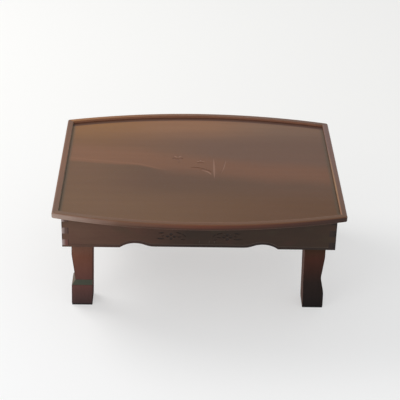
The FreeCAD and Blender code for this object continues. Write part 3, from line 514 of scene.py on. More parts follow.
@dataclass(frozen=True)
class FiguredPanel(LacqueredWood):
    """Sunk panel: a pale figure behind a darker one, painted lighter towards the rear and the left partly as sheen and
    window light, a carved sprig, and a thinly stained underside.

    Attributes:
        top: Height of the panel's upper face.
        recess: The tray's recess.
        border: How far in front of the middle the border between the figures lies.
        slope: How much it comes forward from left to right.
        drop: How far it steps forward in the middle.
        bend: How far it bends forward at the left.
        sway: How far it sways.
        sprig: Depths of the carved sprig.
        rear_left: Tone of the rear left corner.
        rear: Tone along the middle of the rear rail.
        rear_right: Tone of the rear right corner.
        waist_left: Tone of the pale figure's middle, at the left.
        waist_right: The same at the right.
        band_left: Tone of the ruddy band along the border between the figures, at the left.
        band_right: The same at the right.
        dark_left: Tone of the dark figure at the left.
        dark: Tone of the dark figure elsewhere.
        front_left: Tone along the front rail, at the left.
        front_right: The same at the right.
    """

    top: float = 0.235
    recess: Recess = Recess()
    border: float = 0.018
    slope: float = 0.19
    drop: float = 0.011
    bend: float = 0.013
    sway: float = 0.012
    sprig: Carving = Carving(0.0003, 0.0006)
    # Lighter at the rear and the left: partly the wood's figure, partly painted sheen and light of the window at the
    # rear left.
    rear_left: Colour = shade(137, 94, 51)
    rear: Colour = shade(137, 95, 64)
    rear_right: Colour = shade(119, 89, 68)
    waist_left: Colour = shade(117, 79, 47)
    waist_right: Colour = shade(104, 74, 56)
    band_left: Colour = shade(125, 84, 56)
    band_right: Colour = shade(115, 76, 52)
    dark_left: Colour = shade(108, 76, 50)
    dark: Colour = shade(95, 66, 45)
    front_left: Colour = shade(110, 79, 52)
    front_right: Colour = shade(96, 62, 33)

    def stain(self, bench: Bench) -> Signal:
        """Lay out the two figures and the border between them.

        Args:
            bench: Bench to work on.

        Returns:
            The colour.
        """
        across, back, _ = bench.spot
        sway = (bench.noise((9, 2, 0), (2.1, 0.4, 0), 3) - 0.5) * self.sway
        drop = (across.ease(-0.135, -0.075) - across.ease(0.130, 0.240)) * self.drop
        bend = across.ease(-0.08, -0.26) * self.bend
        border = back + self.border + across * self.slope + drop + bend + sway
        # Painted sheen: the rear band and the left are lighter, partly as the window's reflection and light.
        rear = bench.blend(across.ease(-0.05, -0.22), self.rear, self.rear_left)
        rear = bench.blend(across.ease(0.0, 0.2), rear, self.rear_right)
        pale = bench.blend(across.ease(0.08, -0.27), self.waist_right, self.waist_left)
        band = bench.blend(across.ease(0.10, -0.27), self.band_right, self.band_left)
        pale = bench.blend(border.ease(0.10, 0.05), pale, band)
        pale = bench.blend(back.ease(0.10, 0.205), pale, rear)
        dark = bench.blend(across.ease(-0.06, -0.26), self.dark, self.dark_left)
        front = bench.blend(across.ease(0.26, -0.26), self.front_right, self.front_left)
        dark = bench.blend(back.ease(-0.07, -0.17), dark, front)
        left = across.ease(-0.05, -0.12)
        step = border.ease(0.004, -0.006) * left + border.ease(0.028, -0.030) * (1 - left)
        figure = bench.blend(step, pale, dark)
        line = abs(border - 0.003 - across.ease(-0.08, -0.24) * 0.009).ease(0.004, 0.0) * left
        return bench.blend(line * 0.4, figure, shade(142, 98, 71))

    def gathered(self, bench: Bench) -> Signal:
        """Mask of painted shade and painted reflection of the long rails' inner walls on the panel, most of it at the
        rear.

        Args:
            bench: Bench to work on.

        Returns:
            The mask.
        """
        past = self.recess.past_side(bench)
        rear = past.ease(-0.0175, -0.0125) * bench.spot[1].ease(-0.05, 0.05)
        return rear.larger(past.ease(-0.008, -0.005))

    def extras(self, bench: Bench, colour: Signal, rough: Signal) -> tuple[Signal, Signal]:
        """Add cloudy warm patches, painted shadow along the end rails, painted shade and reflection along the long
        rails, the sprig and the underside.

        Args:
            bench: Bench to work on.
            colour: Colour so far.
            rough: Roughness so far.

        Returns:
            The colour and the roughness.
        """
        clouds = bench.noise((9, 14, 0), (7, 3, 0)).ease(0.4, 0.7)
        above = bench.facing[2].ease(0.2, 0.6)
        below = bench.facing[2].ease(-0.6, -0.9)
        pale, dark = self.sprig.strokes(self.top - bench.spot[2], above)
        colour = bench.coats(
            colour,
            (clouds * 0.1, shade(108, 70, 54)),
            # Painted shadow of the end rails on the panel, a darker strip along their inner walls.
            (self.recess.past_end(bench).ease(-0.010, -0.002) * above * 0.6, shade(86, 76, 58)),
            # Painted shade and painted reflection of the long rails' inner walls, darkest along the rear rail.
            (self.gathered(bench) * above * 0.9, shade(72, 42, 32)),
            # Pale strokes are partly painted highlight on the carved relief; dark strokes are darker, partly painted
            # shade in the cuts.
            (pale * 0.85, shade(142, 106, 86)),
            (dark * 0.8, shade(112, 76, 60)),
            (below * 0.8, shade(120, 84, 58)),
        )
        return colour, rough + below * 0.25


@dataclass(frozen=True, kw_only=True)
class RailWood(LacqueredWood):
    """Rim rail: its tone fades along its length, with an inner wall and an outer side of their own; these and the
    top's inner edge carry painted light and shade.

    Attributes:
        inward: Way from the rail towards the middle of the table.
        top: Height of the rail's upper face.
        recess: The tray's recess.
        wall: Tone of the inner wall, painted lighter as lit.
        nose: Places along the rail and the tone of its outer side there, with painted highlight and shade.
        lip: The same for the top's inner edge, where a painted highlight lies.
        under: Painted shade on the outer side's lower half.
        under_from: Places along the rail between which that tone comes in.
    """

    inward: tuple[int, int]
    top: float = 0.24
    recess: Recess = Recess()
    wall: Colour = shade(164, 114, 90)
    nose: Fade
    lip: Fade = ()
    under: Colour = shade(58, 38, 30)
    under_from: tuple[float, float] = (-0.24, -0.08)

    def inside(self, bench: Bench) -> Signal:
        """How far the surface faces the middle of the table."""
        return bench.facing[0] * self.inward[0] + bench.facing[1] * self.inward[1]

    def stain(self, bench: Bench) -> Signal:
        """Let the tone change along the rail, and from its top to the foot of its outer side.

        Args:
            bench: Bench to work on.

        Returns:
            The colour.
        """
        along = bench.spot[self.grain.value]
        crown = super().stain(bench)
        if self.lip:
            past = self.recess.past_end if self.grain is Grain.CROSSWISE else self.recess.past_side
            crown = bench.blend(past(bench).ease(0.0038, 0.0018), crown, bench.ramp(along, self.lip))
        outward = self.inside(bench).ease(-0.5, -0.92)
        colour = bench.blend(outward, crown, bench.ramp(along, self.nose))
        low = bench.spot[2].ease(self.top - 0.0045, self.top - 0.0105) * along.ease(*self.under_from)
        return bench.blend(outward * low * 0.75, colour, self.under)

    def extras(self, bench: Bench, colour: Signal, rough: Signal) -> tuple[Signal, Signal]:
        """Paint the inner wall lighter, as lit."""
        wall = self.inside(bench).ease(0.3, 0.8) * bench.spot[2].ease(self.top - 0.0006, self.top - 0.0014)
        return bench.blend(wall * 0.9, colour, self.wall), rough


@dataclass(frozen=True, kw_only=True)
class CarvedBoard(LacqueredWood):
    """Long apron board: dark and pale carving, a dark strip of painted shade along the scalloped edge and a left end
    painted paler, as lit from the left.

    Attributes:
        face: How far the board's outer face lies from the middle of the table.
        reach: Half of the board's length.
        low: Height of the board's lower edge.
        side: Which long side the board is on.
        carving: Depths of its carving.
        bead: Height of the scored line above the scalloped edge.
        arch: Where an arch begins, is highest and ends, from the middle of the board.
        crown: Height of the arches above the lower edge.
        middle: The same for the edge between them.
    """

    face: float
    reach: float
    low: float
    side: Side
    carving: Carving = Carving(0.0004, 0.0008)
    bead: float = 0.0052
    arch: tuple[float, float, float] = (0.091, 0.1315, 0.163)
    crown: float = 0.0108
    middle: float = 0.0028

    def stain(self, bench: Bench) -> Signal:
        """Let the tone change along the board, with a slow drift and warm and dull patches.

        Args:
            bench: Bench to work on.

        Returns:
            The colour.
        """
        drift = bench.noise((7, 7, 16), (1, 2, 3))
        patches = bench.noise((14, 14, 24), (4, 2, 8))
        return bench.coats(
            bench.ramp(bench.spot[0] + (drift - 0.5) * 0.08, self.tones),
            (patches.ease(0.52, 0.7) * 0.25, shade(88, 50, 44)),
            (patches.ease(0.46, 0.3) * 0.25, shade(70, 62, 42)),
        )

    def scallop(self, bench: Bench) -> Signal:
        """Height of the scalloped edge above the board's lower edge.

        Args:
            bench: Bench to work on.

        Returns:
            The height.
        """
        start, top, stop = self.arch
        away = abs(bench.spot[0])
        inner = away.ease(start, top) * (self.crown - self.middle) + self.middle
        fall = ((away - top).larger(0.0) / (stop - top)) ** 2
        return (inner - fall * self.crown).larger(0.0)

    def extras(self, bench: Bench, colour: Signal, rough: Signal) -> tuple[Signal, Signal]:
        """Add the carving's pale and dark tones, the strip of painted shade along the edge and the dark ends of the
        fingers.

        Args:
            bench: Bench to work on.
            colour: Colour so far.
            rough: Roughness so far.

        Returns:
            The colour and the roughness.
        """
        across, back, up = bench.spot
        outward = (bench.facing[1] * self.side.value).ease(0.2, 0.6)
        above = up - self.low - self.scallop(bench)
        # Painted shade: a dark strip on the rounded lower edge below the scored line.
        strip = above.ease(self.bead + 0.0004, self.bead - 0.0012) * outward * across.ease(-0.32, -0.12)
        tips = abs(across).ease(self.reach - 0.0025, self.reach - 0.0012) * outward
        pale, dark = self.carving.strokes(self.face - back * self.side.value, outward)
        colour = bench.coats(
            colour,
            (strip * 0.5, shade(30, 22, 24)),
            (tips * 0.6, shade(44, 30, 32)),
            # Pale strokes are partly painted highlight on the carved relief; dark strokes are darker, partly painted
            # shade in the cuts.
            (pale * across.ease(-0.30, -0.1) * 0.8, shade(84, 70, 62)),
            (dark * 0.65, shade(28, 20, 20)),
        )
        return colour, rough + dark * 0.2


@dataclass(frozen=True, kw_only=True)
class EndBoard(LacqueredWood):
    """Short apron board, with the ends of its fingers on the table's long sides.

    Attributes:
        tone: Tone of the board.
        seam: Distance of the fingers' inner ends from the middle of the table.
        reach: Distance of their outer ends.
        low: Height of the board's lower edge.
        row: Height of one finger.
        finger: Tone of the finger ends; the paler one is painted light.
        lowest: Tone of the lowest finger ends.
        rim: Tone of their outer edge; the pale one is a painted highlight.
        rim_share: How much of that tone shows.
    """

    tone: Colour
    seam: float = 0.2672
    reach: float
    low: float
    row: float = 0.018
    finger: Colour = shade(100, 74, 66)
    lowest: Colour = shade(120, 76, 68)
    rim: Colour = shade(176, 156, 152)
    rim_share: float = 0.9

    def stain(self, bench: Bench) -> Colour:
        """One tone for the whole board."""
        return self.tone

    def extras(self, bench: Bench, colour: Signal, rough: Signal) -> tuple[Signal, Signal]:
        """Finish the finger ends, with a pale outer edge in front, a painted highlight.

        Args:
            bench: Bench to work on.
            colour: Colour so far.
            rough: Roughness so far.

        Returns:
            The colour and the roughness.
        """
        away = abs(bench.spot[0])
        top = self.low + self.row
        rim = away.ease(self.reach - 0.0085, self.reach - 0.0015) * bench.facing[1].ease(-0.2, -0.5)
        ends = bench.coats(
            self.finger,
            (bench.spot[2].ease(top + 0.004, top - 0.004), self.lowest),
            (away.ease(self.seam + 0.0028, self.seam + 0.0012) * 0.7, shade(52, 34, 30)),
            (rim * self.rim_share, self.rim),
        )
        return bench.blend(abs(bench.facing[1]).ease(0.5, 0.8) * 0.9, colour, ends), rough


@dataclass(frozen=True, kw_only=True)
class LegWood(LacqueredWood):
    """Leg: its tone changes with height, with painted shade and sheen on the ledge above the block.

    Attributes:
        ledge: Heights between which the ledge lies.
        ledge_tone: Painted shade and sheen on the ledge.
        rubbed: Painted reflection on the ledge's outer side, a pale tone.
        rubbed_share: How much of that tone shows.
        inner: Painted light on the side turned to the table's middle, a lighter tone.
        inner_share: How much of that tone shows.
    """

    ledge: tuple[float, float] = (0.048, 0.061)
    ledge_tone: Colour
    rubbed: Colour = shade(124, 106, 95)
    rubbed_share: float = 0.0
    inner: Colour = shade(128, 100, 92)
    inner_share: float = 0.0

    def edges(self, bench: Bench) -> Signal:
        """Mask of all rounded edges."""
        x, y, z = (abs(part) for part in bench.facing)
        return (x * y + y * z + z * x).ease(0.2, 0.48)

    def extras(self, bench: Bench, colour: Signal, rough: Signal) -> tuple[Signal, Signal]:
        """Add the ledge's painted shade and sheen, its painted reflection and the painted light on the inner side.

        Args:
            bench: Bench to work on.
            colour: Colour so far.
            rough: Roughness so far.

        Returns:
            The colour and the roughness.
        """
        across, _, up = bench.spot
        low, high = self.ledge
        inner = (bench.facing[0] * across * -5).ease(0.3, 0.8)
        outer = abs(bench.facing[0]).ease(0.3, 0.6)
        ledge = up.ease(low - 0.002, low + 0.002) * up.ease(high + 0.002, high - 0.002)
        ledge = ledge * bench.facing[2].ease(0.25, 0.5)
        colour = bench.coats(
            colour,
            # Painted light on the side turned to the table's middle.
            (inner * self.inner_share, self.inner),
            # Painted shade and sheen on the ledge above the block.
            (ledge * 0.9, self.ledge_tone),
            # Painted reflection of bright surroundings on the outer side of the ledge.
            (ledge * outer * self.rubbed_share, self.rubbed),
        )
        return colour, rough


@dataclass(frozen=True)
class RawWood:
    """Planed pale wood without finish, for what is hidden under the panel.

    Attributes:
        name: The finish's name.
        grain: Way of the fibres.
        seed: Shifts the figure.
    """

    name: str
    grain: Grain
    seed: float

    def make(self) -> bpy.types.Material:
        """Make the material.

        Returns:
            The material.
        """
        bench = Bench(self.name)
        bands = bench.noise(self.grain.stretched(6, 160), (self.seed, 0, self.seed * 2), 4, 0.55)
        fibres = bench.noise(self.grain.stretched(50, 1100), roughness=0.6)
        colour = bench.coats(
            shade(170, 130, 88),
            (bands.ease(0.3, 0.75), shade(206, 170, 122)),
            (fibres.ease(0.55, 0.8) * 0.4, shade(138, 100, 64)),
            (bench.ends(self.grain) * 0.5, shade(132, 96, 62)),
        )
        return bench.finish(colour, 0.62 + fibres * 0.2, bench.relief(fibres, 0.0002, 0.0006))


@dataclass(frozen=True)
class PlatedSteel:
    """Plated or blued steel with drawn scratches and clouded plating.

    Attributes:
        name: The finish's name.
        bright: Tone of the clean metal.
        dull: Tone of the clouded metal.
        roughness: Roughness of the clean metal.
        drawn: Way that the fine scratches run.
    """

    name: str
    bright: Colour
    dull: Colour
    roughness: float = 0.3
    drawn: Grain = Grain.LENGTHWISE

    def make(self) -> bpy.types.Material:
        """Make the material.

        Returns:
            The material.
        """
        bench = Bench(self.name)
        clouds = bench.noise((160, 160, 160), detail=3, roughness=0.6)
        scratches = bench.noise(self.drawn.stretched(120, 3500), roughness=0.6)
        colour = bench.blend(clouds.ease(0.4, 0.75), self.bright, self.dull)
        rough = self.roughness + clouds * 0.18 + scratches * 0.1
        return bench.finish(colour, rough, bench.relief(scratches, 0.00003, 0.0004), {"Metallic": 1.0})


@dataclass(frozen=True)
class Rubber:
    """Matt rubber with dust in its fine texture.

    Attributes:
        name: The finish's name.
        tone: Tone of the rubber.
        dust: Tone of the dust.
    """

    name: str
    tone: Colour
    dust: Colour

    def make(self) -> bpy.types.Material:
        """Make the material.

        Returns:
            The material.
        """
        bench = Bench(self.name)
        grit = bench.noise((1500, 1500, 1500), roughness=0.6)
        film = bench.noise((90, 90, 90), detail=3, roughness=0.6)
        colour = bench.blend(film.ease(0.5, 0.85) * 0.35, self.tone, self.dust)
        return bench.finish(colour, 0.7 + grit * 0.2, bench.relief(grit, 0.00008))


# Shared work on pieces


@dataclass
class Workshop:
    """What every sub-assembly needs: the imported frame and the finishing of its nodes.

    Attributes:
        nodes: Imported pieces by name.
        dressed: Names of the pieces that have their finish.
    """

    nodes: Mapping[str, bpy.types.Object]
    dressed: set[str] = field(default_factory=set)

    def paint(self, name: str, material: bpy.types.Material) -> None:
        """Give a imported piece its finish.

        Args:
            name: The piece's name.
            material: The finish.
        """
        for slot in self.nodes[name].material_slots:
            slot.material = material
        self.dressed.add(name)
        log.info("%s in %s", name, material.name)


def stand(mesh: bmesh.types.BMesh, name: str) -> bpy.types.Object:
    """Turn a mesh into an object in the scene.

    Args:
        mesh: The mesh, which is freed.
        name: The object's name.

    Returns:
        The object.
    """
    data = bpy.data.meshes.new(name)
    mesh.to_mesh(data)
    mesh.free()
    piece = bpy.data.objects.new(name, data)
    bpy.context.scene.collection.objects.link(piece)
    return piece


# Sub-assemblies


@dataclass
class TrayTop:
    """Sunk panel in its four rim rails.

    Attributes:
        shop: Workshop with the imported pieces.
    """

    shop: Workshop

    def dress(self) -> None:
        """Finish the panel and the rails, each rail with its own grain and tones."""
        panel = FiguredPanel("panel_walnut", Grain.LENGTHWISE, 0.4, ring=0.03, contrast=0.07)
        self.shop.paint("top_panel", panel.make())
        for seed, (name, fields) in enumerate(self.rails().items(), start=1):
            grain = Grain.CROSSWISE if fields["inward"][0] else Grain.LENGTHWISE
            wood = RailWood(f"{name}_walnut", grain, seed, contrast=0.1, roughness=0.34, **fields)
            self.shop.paint(name, wood.make())

    @staticmethod
    def rails() -> dict[str, dict]:
        """Way inwards and tones of each rail, by its name."""
        return {
            # Noses, lips and walls carry painted light: highlights and reflections of the window at the left, shade on
            # sides turned away from it.
            "front_rim_rail": {
                "inward": (0, 1),
                "tones": fade((-0.30, 116, 88, 68), (0.0, 108, 71, 47), (0.30, 106, 75, 53)),
                "lip": fade((-0.30, 114, 87, 67), (-0.12, 129, 93, 69), (0.30, 116, 84, 62)),
                # Painted highlight of the window on the left part of the front rail's rounded outer side, painted
                # shade towards the right.
                "nose": fade((-0.30, 174, 150, 138), (-0.16, 118, 85, 68), (0.0, 106, 58, 41), (0.30, 60, 40, 33)),
            },
            "rear_rim_rail": {
                "inward": (0, -1),
                # Lighter at the left, partly painted light of the window.
                "tones": fade((-0.30, 149, 99, 55), (-0.05, 121, 81, 55), (0.30, 100, 71, 55)),
                "nose": fade((-0.30, 120, 84, 60), (0.30, 96, 74, 62)),
            },
            "left_rim_rail": {
                "inward": (1, 0),
                # The left rail's inner wall is painted pale, as lit.
                "wall": shade(176, 164, 142),
                "tones": fade((-0.21, 110, 81, 65), (0.0, 123, 84, 61), (0.21, 108, 74, 53)),
                "nose": fade((-0.21, 124, 98, 86), (0.21, 96, 64, 52)),
            },
            "right_rim_rail": {
                "inward": (-1, 0),
                "wall": shade(110, 76, 60),
                "tones": fade((-0.21, 100, 71, 53), (0.0, 115, 84, 72), (0.21, 113, 84, 76)),
                # Painted highlight along the right rail's inner edge.
                "lip": fade((-0.21, 147, 102, 76), (-0.09, 158, 120, 84), (0.02, 144, 112, 90), (0.08, 122, 94, 84)),
                # The right rail's outer side, turned away from the window, is painted dark.
                "nose": fade((-0.21, 56, 39, 36), (0.0, 84, 66, 60), (0.21, 88, 64, 56)),
            },
        }


@dataclass
class ApronBox:
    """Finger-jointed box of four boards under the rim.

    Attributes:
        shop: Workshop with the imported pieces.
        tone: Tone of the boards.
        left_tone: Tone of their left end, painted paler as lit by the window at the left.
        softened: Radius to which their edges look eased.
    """

    shop: Workshop
    tone: Colour = shade(56, 40, 30)
    left_tone: Colour = shade(104, 75, 60)
    softened: float = 0.0012

    def dress(self) -> None:
        """Finish the four boards."""
        # Painted light: the boards grow paler towards the left end, as lit by the window.
        tones = ((-0.28, self.left_tone), (-0.12, shade(90, 60, 47)), (-0.03, self.tone), (0.28, shade(60, 42, 30)))
        for seed, side in enumerate(Side, start=7):
            face = max(abs(corner.y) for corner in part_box(f"{side.word}_apron"))
            self.board(CarvedBoard, side, Grain.LENGTHWISE, seed, {"tones": tones, "side": side, "face": face})
        # The right end board is darker in its finger ends and outer edge; the left one's are painted lit, with a
        # painted highlight on the outer edge.
        darker = {"finger": shade(52, 40, 34), "lowest": shade(50, 38, 34), "rim": shade(30, 22, 20)}
        self.board(EndBoard, End.LEFT, Grain.CROSSWISE, 10, {"tone": self.left_tone})
        self.board(EndBoard, End.RIGHT, Grain.CROSSWISE, 11, {"tone": self.tone, **darker})

    def board(
        self, kind: type[LacqueredWood], flank: Flank, grain: Grain, seed: int, fields: Mapping[str, object]
    ) -> None:
        """Finish one board.

        Args:
            kind: Kind of finish.
            flank: Where the board is.
            grain: Way of its fibres.
            seed: Shifts its grain.
            fields: What only this board's finish has.
        """
        name = f"{flank.word}_apron"
        low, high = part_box(name)
        reach = max(abs(low.x), abs(high.x))
        wood = kind(f"{name}_walnut", grain, seed, softened=self.softened, reach=reach, low=low.z, **fields)
        self.shop.paint(name, wood.make())


@dataclass
class FoldingLeg:
    """One leg with its pad and hinge.

    Attributes:
        shop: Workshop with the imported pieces.
        end: End of the table that the leg is at.
        side: Long side of the table that the leg is at.
        width: Width along the table.
        depth: Depth across the table.
        lean: How far the foot stands out beyond the pivot.
        head_flat: Width of the flat between the head's rounded corners.
        taper_start: Height at which the outer faces begin to draw in.
        notch: How far they draw in.
        ankle: Height of the narrowest place.
        block: Height of the foot block.
        softness: How far the corners of the outline are smoothed, along the height.
        arris: Radius of the long edges.
        toe: Radius of the foot's lower edges.
        step: Height of one course of the mesh.
        play: Play of the pin in its bore.
    """

    shop: Workshop
    end: End
    side: Side
    width: float = 0.044
    depth: float = 0.046
    lean: float = 0.0043
    head_flat: float = 0.006
    taper_start: float = 0.126
    notch: float = 0.0074
    ankle: float = 0.060
    block: float = 0.050
    softness: float = 0.0012
    arris: float = 0.0014
    toe: float = 0.001
    step: float = 0.002
    play: float = 0.00008

    def __post_init__(self) -> None:
        """Find the pivot, the pin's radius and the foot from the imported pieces."""
        self.name = f"{self.side.word}_{self.end.word}"
        low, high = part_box(f"{self.name}_pin")
        self.pivot, self.pin = (low + high) / 2, (high.z - low.z) / 2
        self.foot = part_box(f"{self.name}_foot_pad")[1].z

    def drawn_in(self, height: float) -> float:
        """How far the outer faces are drawn in at a height, before smoothing."""
        rise = (height - self.block) / (self.ankle - self.block)
        return self.notch * max(min(rise, (self.taper_start - height) / (self.taper_start - self.ankle)), 0.0)

    def course(self, height: float) -> tuple[float, float, float, float]:
        """Outline of the leg at a height.

        Args:
            height: Height above the floor.

        Returns:
            Inner and outer limit outwards from the pivot, then inner and outer limit towards the long side.
        """
        spread = (-1, -0.6, -0.2, 0.2, 0.6, 1)
        cut = sum(self.drawn_in(height + self.softness * part) for part in spread) / len(spread)
        below = max(self.pivot.z - height, 0.0)
        shift = self.lean * below / self.pivot.z
        half = self.width / 2
        rise = height - self.pivot.z - self.head_flat / 2
        if rise > 0:
            radius = half - self.head_flat / 2
            half = self.head_flat / 2 + math.sqrt(max(radius**2 - rise**2, 0.0))
        return -half + shift, half + shift - cut, -self.depth / 2, self.depth / 2 - cut

    def ring(self, height: float, inset: float) -> list[Vector]:
        """Points round the leg at a height, with rounded corners.

        Args:
            height: Height above the floor.
            inset: How far all faces are drawn in, for the rounded lower edge.

        Returns:
            The points, in the table's frame.
        """
        left, right, near, far = self.course(height)
        left, right, near, far = left + inset, right - inset, near + inset, far - inset
        # A little less than half of the width, so that the two corners of a narrow course stay apart.
        radius = min(self.arris, (right - left) / 2.001)
        points = []
        for quarter, (x, y) in enumerate(((right, far), (left, far), (left, near), (right, near))):
            middle_x = x - math.copysign(radius, x - (left + right) / 2)
            middle_y = y - math.copysign(radius, y - (near + far) / 2)
            for turn in (math.radians(90 * quarter + angle) for angle in (0, 22.5, 45, 67.5, 90)):
                out = (middle_x + radius * math.cos(turn)) * self.end.value
                aside = (middle_y + radius * math.sin(turn)) * self.side.value
                points.append(Vector((self.pivot.x + out, self.pivot.y + aside, height)))
        return points

    def build(self) -> bpy.types.Object:
        """Build the leg in courses from the foot up, and bore it for the pin.

        Returns:
            The leg.
        """
        top = self.pivot.z + self.width / 2
        courses = [
            (self.foot + self.toe * (1 - math.cos(turn)), self.toe * (1 - math.sin(turn)))
            for turn in (math.radians(angle) for angle in (0, 30, 60, 90))
        ]
        height = self.foot + self.toe + self.step
        shoulder = self.pivot.z + self.head_flat / 2
        while height < shoulder:
            courses.append((height, 0.0))
            height += self.step
        radius = top - shoulder
        courses += [(shoulder + radius * math.sin(math.radians(angle)), 0.0) for angle in range(0, 91, 6)]
        mesh = bmesh.new()
        rings = [[mesh.verts.new(point) for point in self.ring(*course)] for course in courses]
        for lower, upper in zip(rings, rings[1:]):
            for index in range(len(lower)):
                after = (index + 1) % len(lower)
                mesh.faces.new((lower[index], lower[after], upper[after], upper[index]))
        mesh.faces.new(rings[0])
        mesh.faces.new(rings[-1])
        bmesh.ops.recalc_face_normals(mesh, faces=mesh.faces)
        leg = stand(mesh, f"{self.name}_turned_leg")
        self.bore(leg)
        leg.data.shade_smooth()
        leg.data.set_sharp_from_angle(angle=math.radians(32))
        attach(leg, f"{self.name}_folding_leg")
        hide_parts(f"{self.name}_leg")
        return leg

    def bore(self, leg: bpy.types.Object) -> None:
        """Cut the pin's bore through the head.

        Args:
            leg: The leg, whose mesh is changed.
        """
        radius = self.pin + self.play
        mesh = bmesh.new()
        turn = Matrix.Translation(self.pivot) @ Matrix.Rotation(math.radians(90), 4, "X")
        bmesh.ops.create_cone(
            mesh, cap_ends=True, segments=48, radius1=radius, radius2=radius, depth=self.depth * 1.2, matrix=turn
        )
        drill = stand(mesh, f"{self.name}_drill")
        cut = leg.modifiers.new("bore", "BOOLEAN")
        cut.object, cut.operation, cut.solver = drill, "DIFFERENCE", "EXACT"
        bored = bpy.data.meshes.new_from_object(leg.evaluated_get(bpy.context.evaluated_depsgraph_get()))
        leg.modifiers.clear()
        leg.data = bored
        bpy.data.objects.remove(drill)

    def dress(self, wood: bpy.types.Material, fittings: Mapping[str, bpy.types.Material]) -> None:
        """Build the leg and finish it and its hinge.

        Args:
            wood: Finish of the leg.
            fittings: Finish of each other piece, by the last part of its name.
        """
        self.build().data.materials.append(wood)
        for part, material in fittings.items():
            self.shop.paint(f"{self.name}_{part}", material)
        self.shop.dressed.add(f"{self.name}_leg")
        log.info("%s leg turned and bored", self.name)


@dataclass
class LegSet:
    """The four legs with their hinges.

    Attributes:
        shop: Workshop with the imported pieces.
    """

    shop: Workshop

    def dress(self) -> None:
        """Finish the four legs; the right pair is darker, partly as darker wood and partly as painted shade beside the
        left pair's painted light, with a long soft flare above the foot.
        """
        block = RawWood("mount_pine", Grain.LENGTHWISE, 3).make()
        zinc = PlatedSteel("bracket_zinc", shade(196, 196, 190), shade(150, 150, 146), 0.34).make()
        fittings = {
            "mount": block,
            "bracket": zinc,
            "spring": PlatedSteel("spring_blued", shade(92, 98, 112), shade(60, 60, 68), 0.28).make(),
            "pin": PlatedSteel("pin_bright", shade(200, 200, 198), shade(160, 158, 152), 0.22, Grain.CROSSWISE).make(),
            "bracket_screws": PlatedSteel("screw_zinc", shade(206, 190, 140), shade(160, 146, 108), 0.3).make(),
            "foot_pad": Rubber("foot_rubber", shade(24, 23, 23), shade(70, 66, 62)).make(),
            "stop": Rubber("stop_rubber", shade(38, 36, 34), shade(84, 80, 74)).make(),
        }
        for end in End:
            wood = self.wood(end)
            for side in Side:
                FoldingLeg(self.shop, end, side, **self.shape(end)).dress(wood, fittings)

    @staticmethod
    def shape(end: End) -> dict[str, float]:
        """Sizes in which the legs at one end differ from the usual ones."""
        right = {"notch": 0.006, "ankle": 0.070, "block": 0.039, "softness": 0.006, "toe": 0.0022}
        return right if end is End.RIGHT else {}

    @staticmethod
    def wood(end: End) -> bpy.types.Material:
        """Finish of the legs at one end.

        Args:
            end: The end.

        Returns:
            The finish.
        """
        # The left pair is painted lighter and the right pair darker, partly as light from the window at the left; the
        # dark edges of both are painted shade.
        fields = {
            End.LEFT: {
                "seed": 13,
                "edge": shade(52, 34, 32),
                "edge_share": 0.6,
                "tones": fade((0.0, 74, 60, 59), (0.05, 104, 71, 66), (0.12, 117, 76, 62), (0.155, 124, 92, 78)),
                "ledge_tone": shade(84, 88, 76),
                "rubbed_share": 0.7,
            },
            End.RIGHT: {
                "seed": 17,
                "edge": shade(30, 24, 24),
                "edge_share": 0.5,
                "tones": fade((0.0, 42, 38, 38), (0.06, 52, 42, 39), (0.122, 80, 50, 42), (0.146, 76, 54, 42)),
                "ledge": (0.039, 0.070),
                "ledge_tone": shade(42, 37, 37),
                "inner_share": 0.85,
            },
        }
        return LegWood(f"{end.word}_leg_walnut", Grain.UPRIGHT, gloss=0.0, **fields[end]).make()


@dataclass
class UnderFrame:
    """Battens, cleats and their screws under the panel.

    Attributes:
        shop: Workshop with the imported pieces.
    """

    shop: Workshop

    def dress(self) -> None:
        """Finish the wood and the fasteners."""
        crosswise = RawWood("batten_pine", Grain.CROSSWISE, 5).make()
        lengthwise = RawWood("cleat_pine", Grain.LENGTHWISE, 9).make()
        for end in End:
            self.shop.paint(f"{end.word}_batten", crosswise)
            self.shop.paint(f"{end.word}_cleat", crosswise)
        for side in Side:
            self.shop.paint(f"{side.word}_cleat", lengthwise)
        screws = PlatedSteel("wood_screw_zinc", shade(206, 190, 140), shade(160, 146, 108), 0.3).make()
        for name in ("batten_screws", "long_cleat_screws", "end_cleat_screws"):
            self.shop.paint(name, screws)
        self.shop.paint("spring_rivets", PlatedSteel("rivet_steel", shade(150, 150, 152), shade(110, 110, 112)).make())


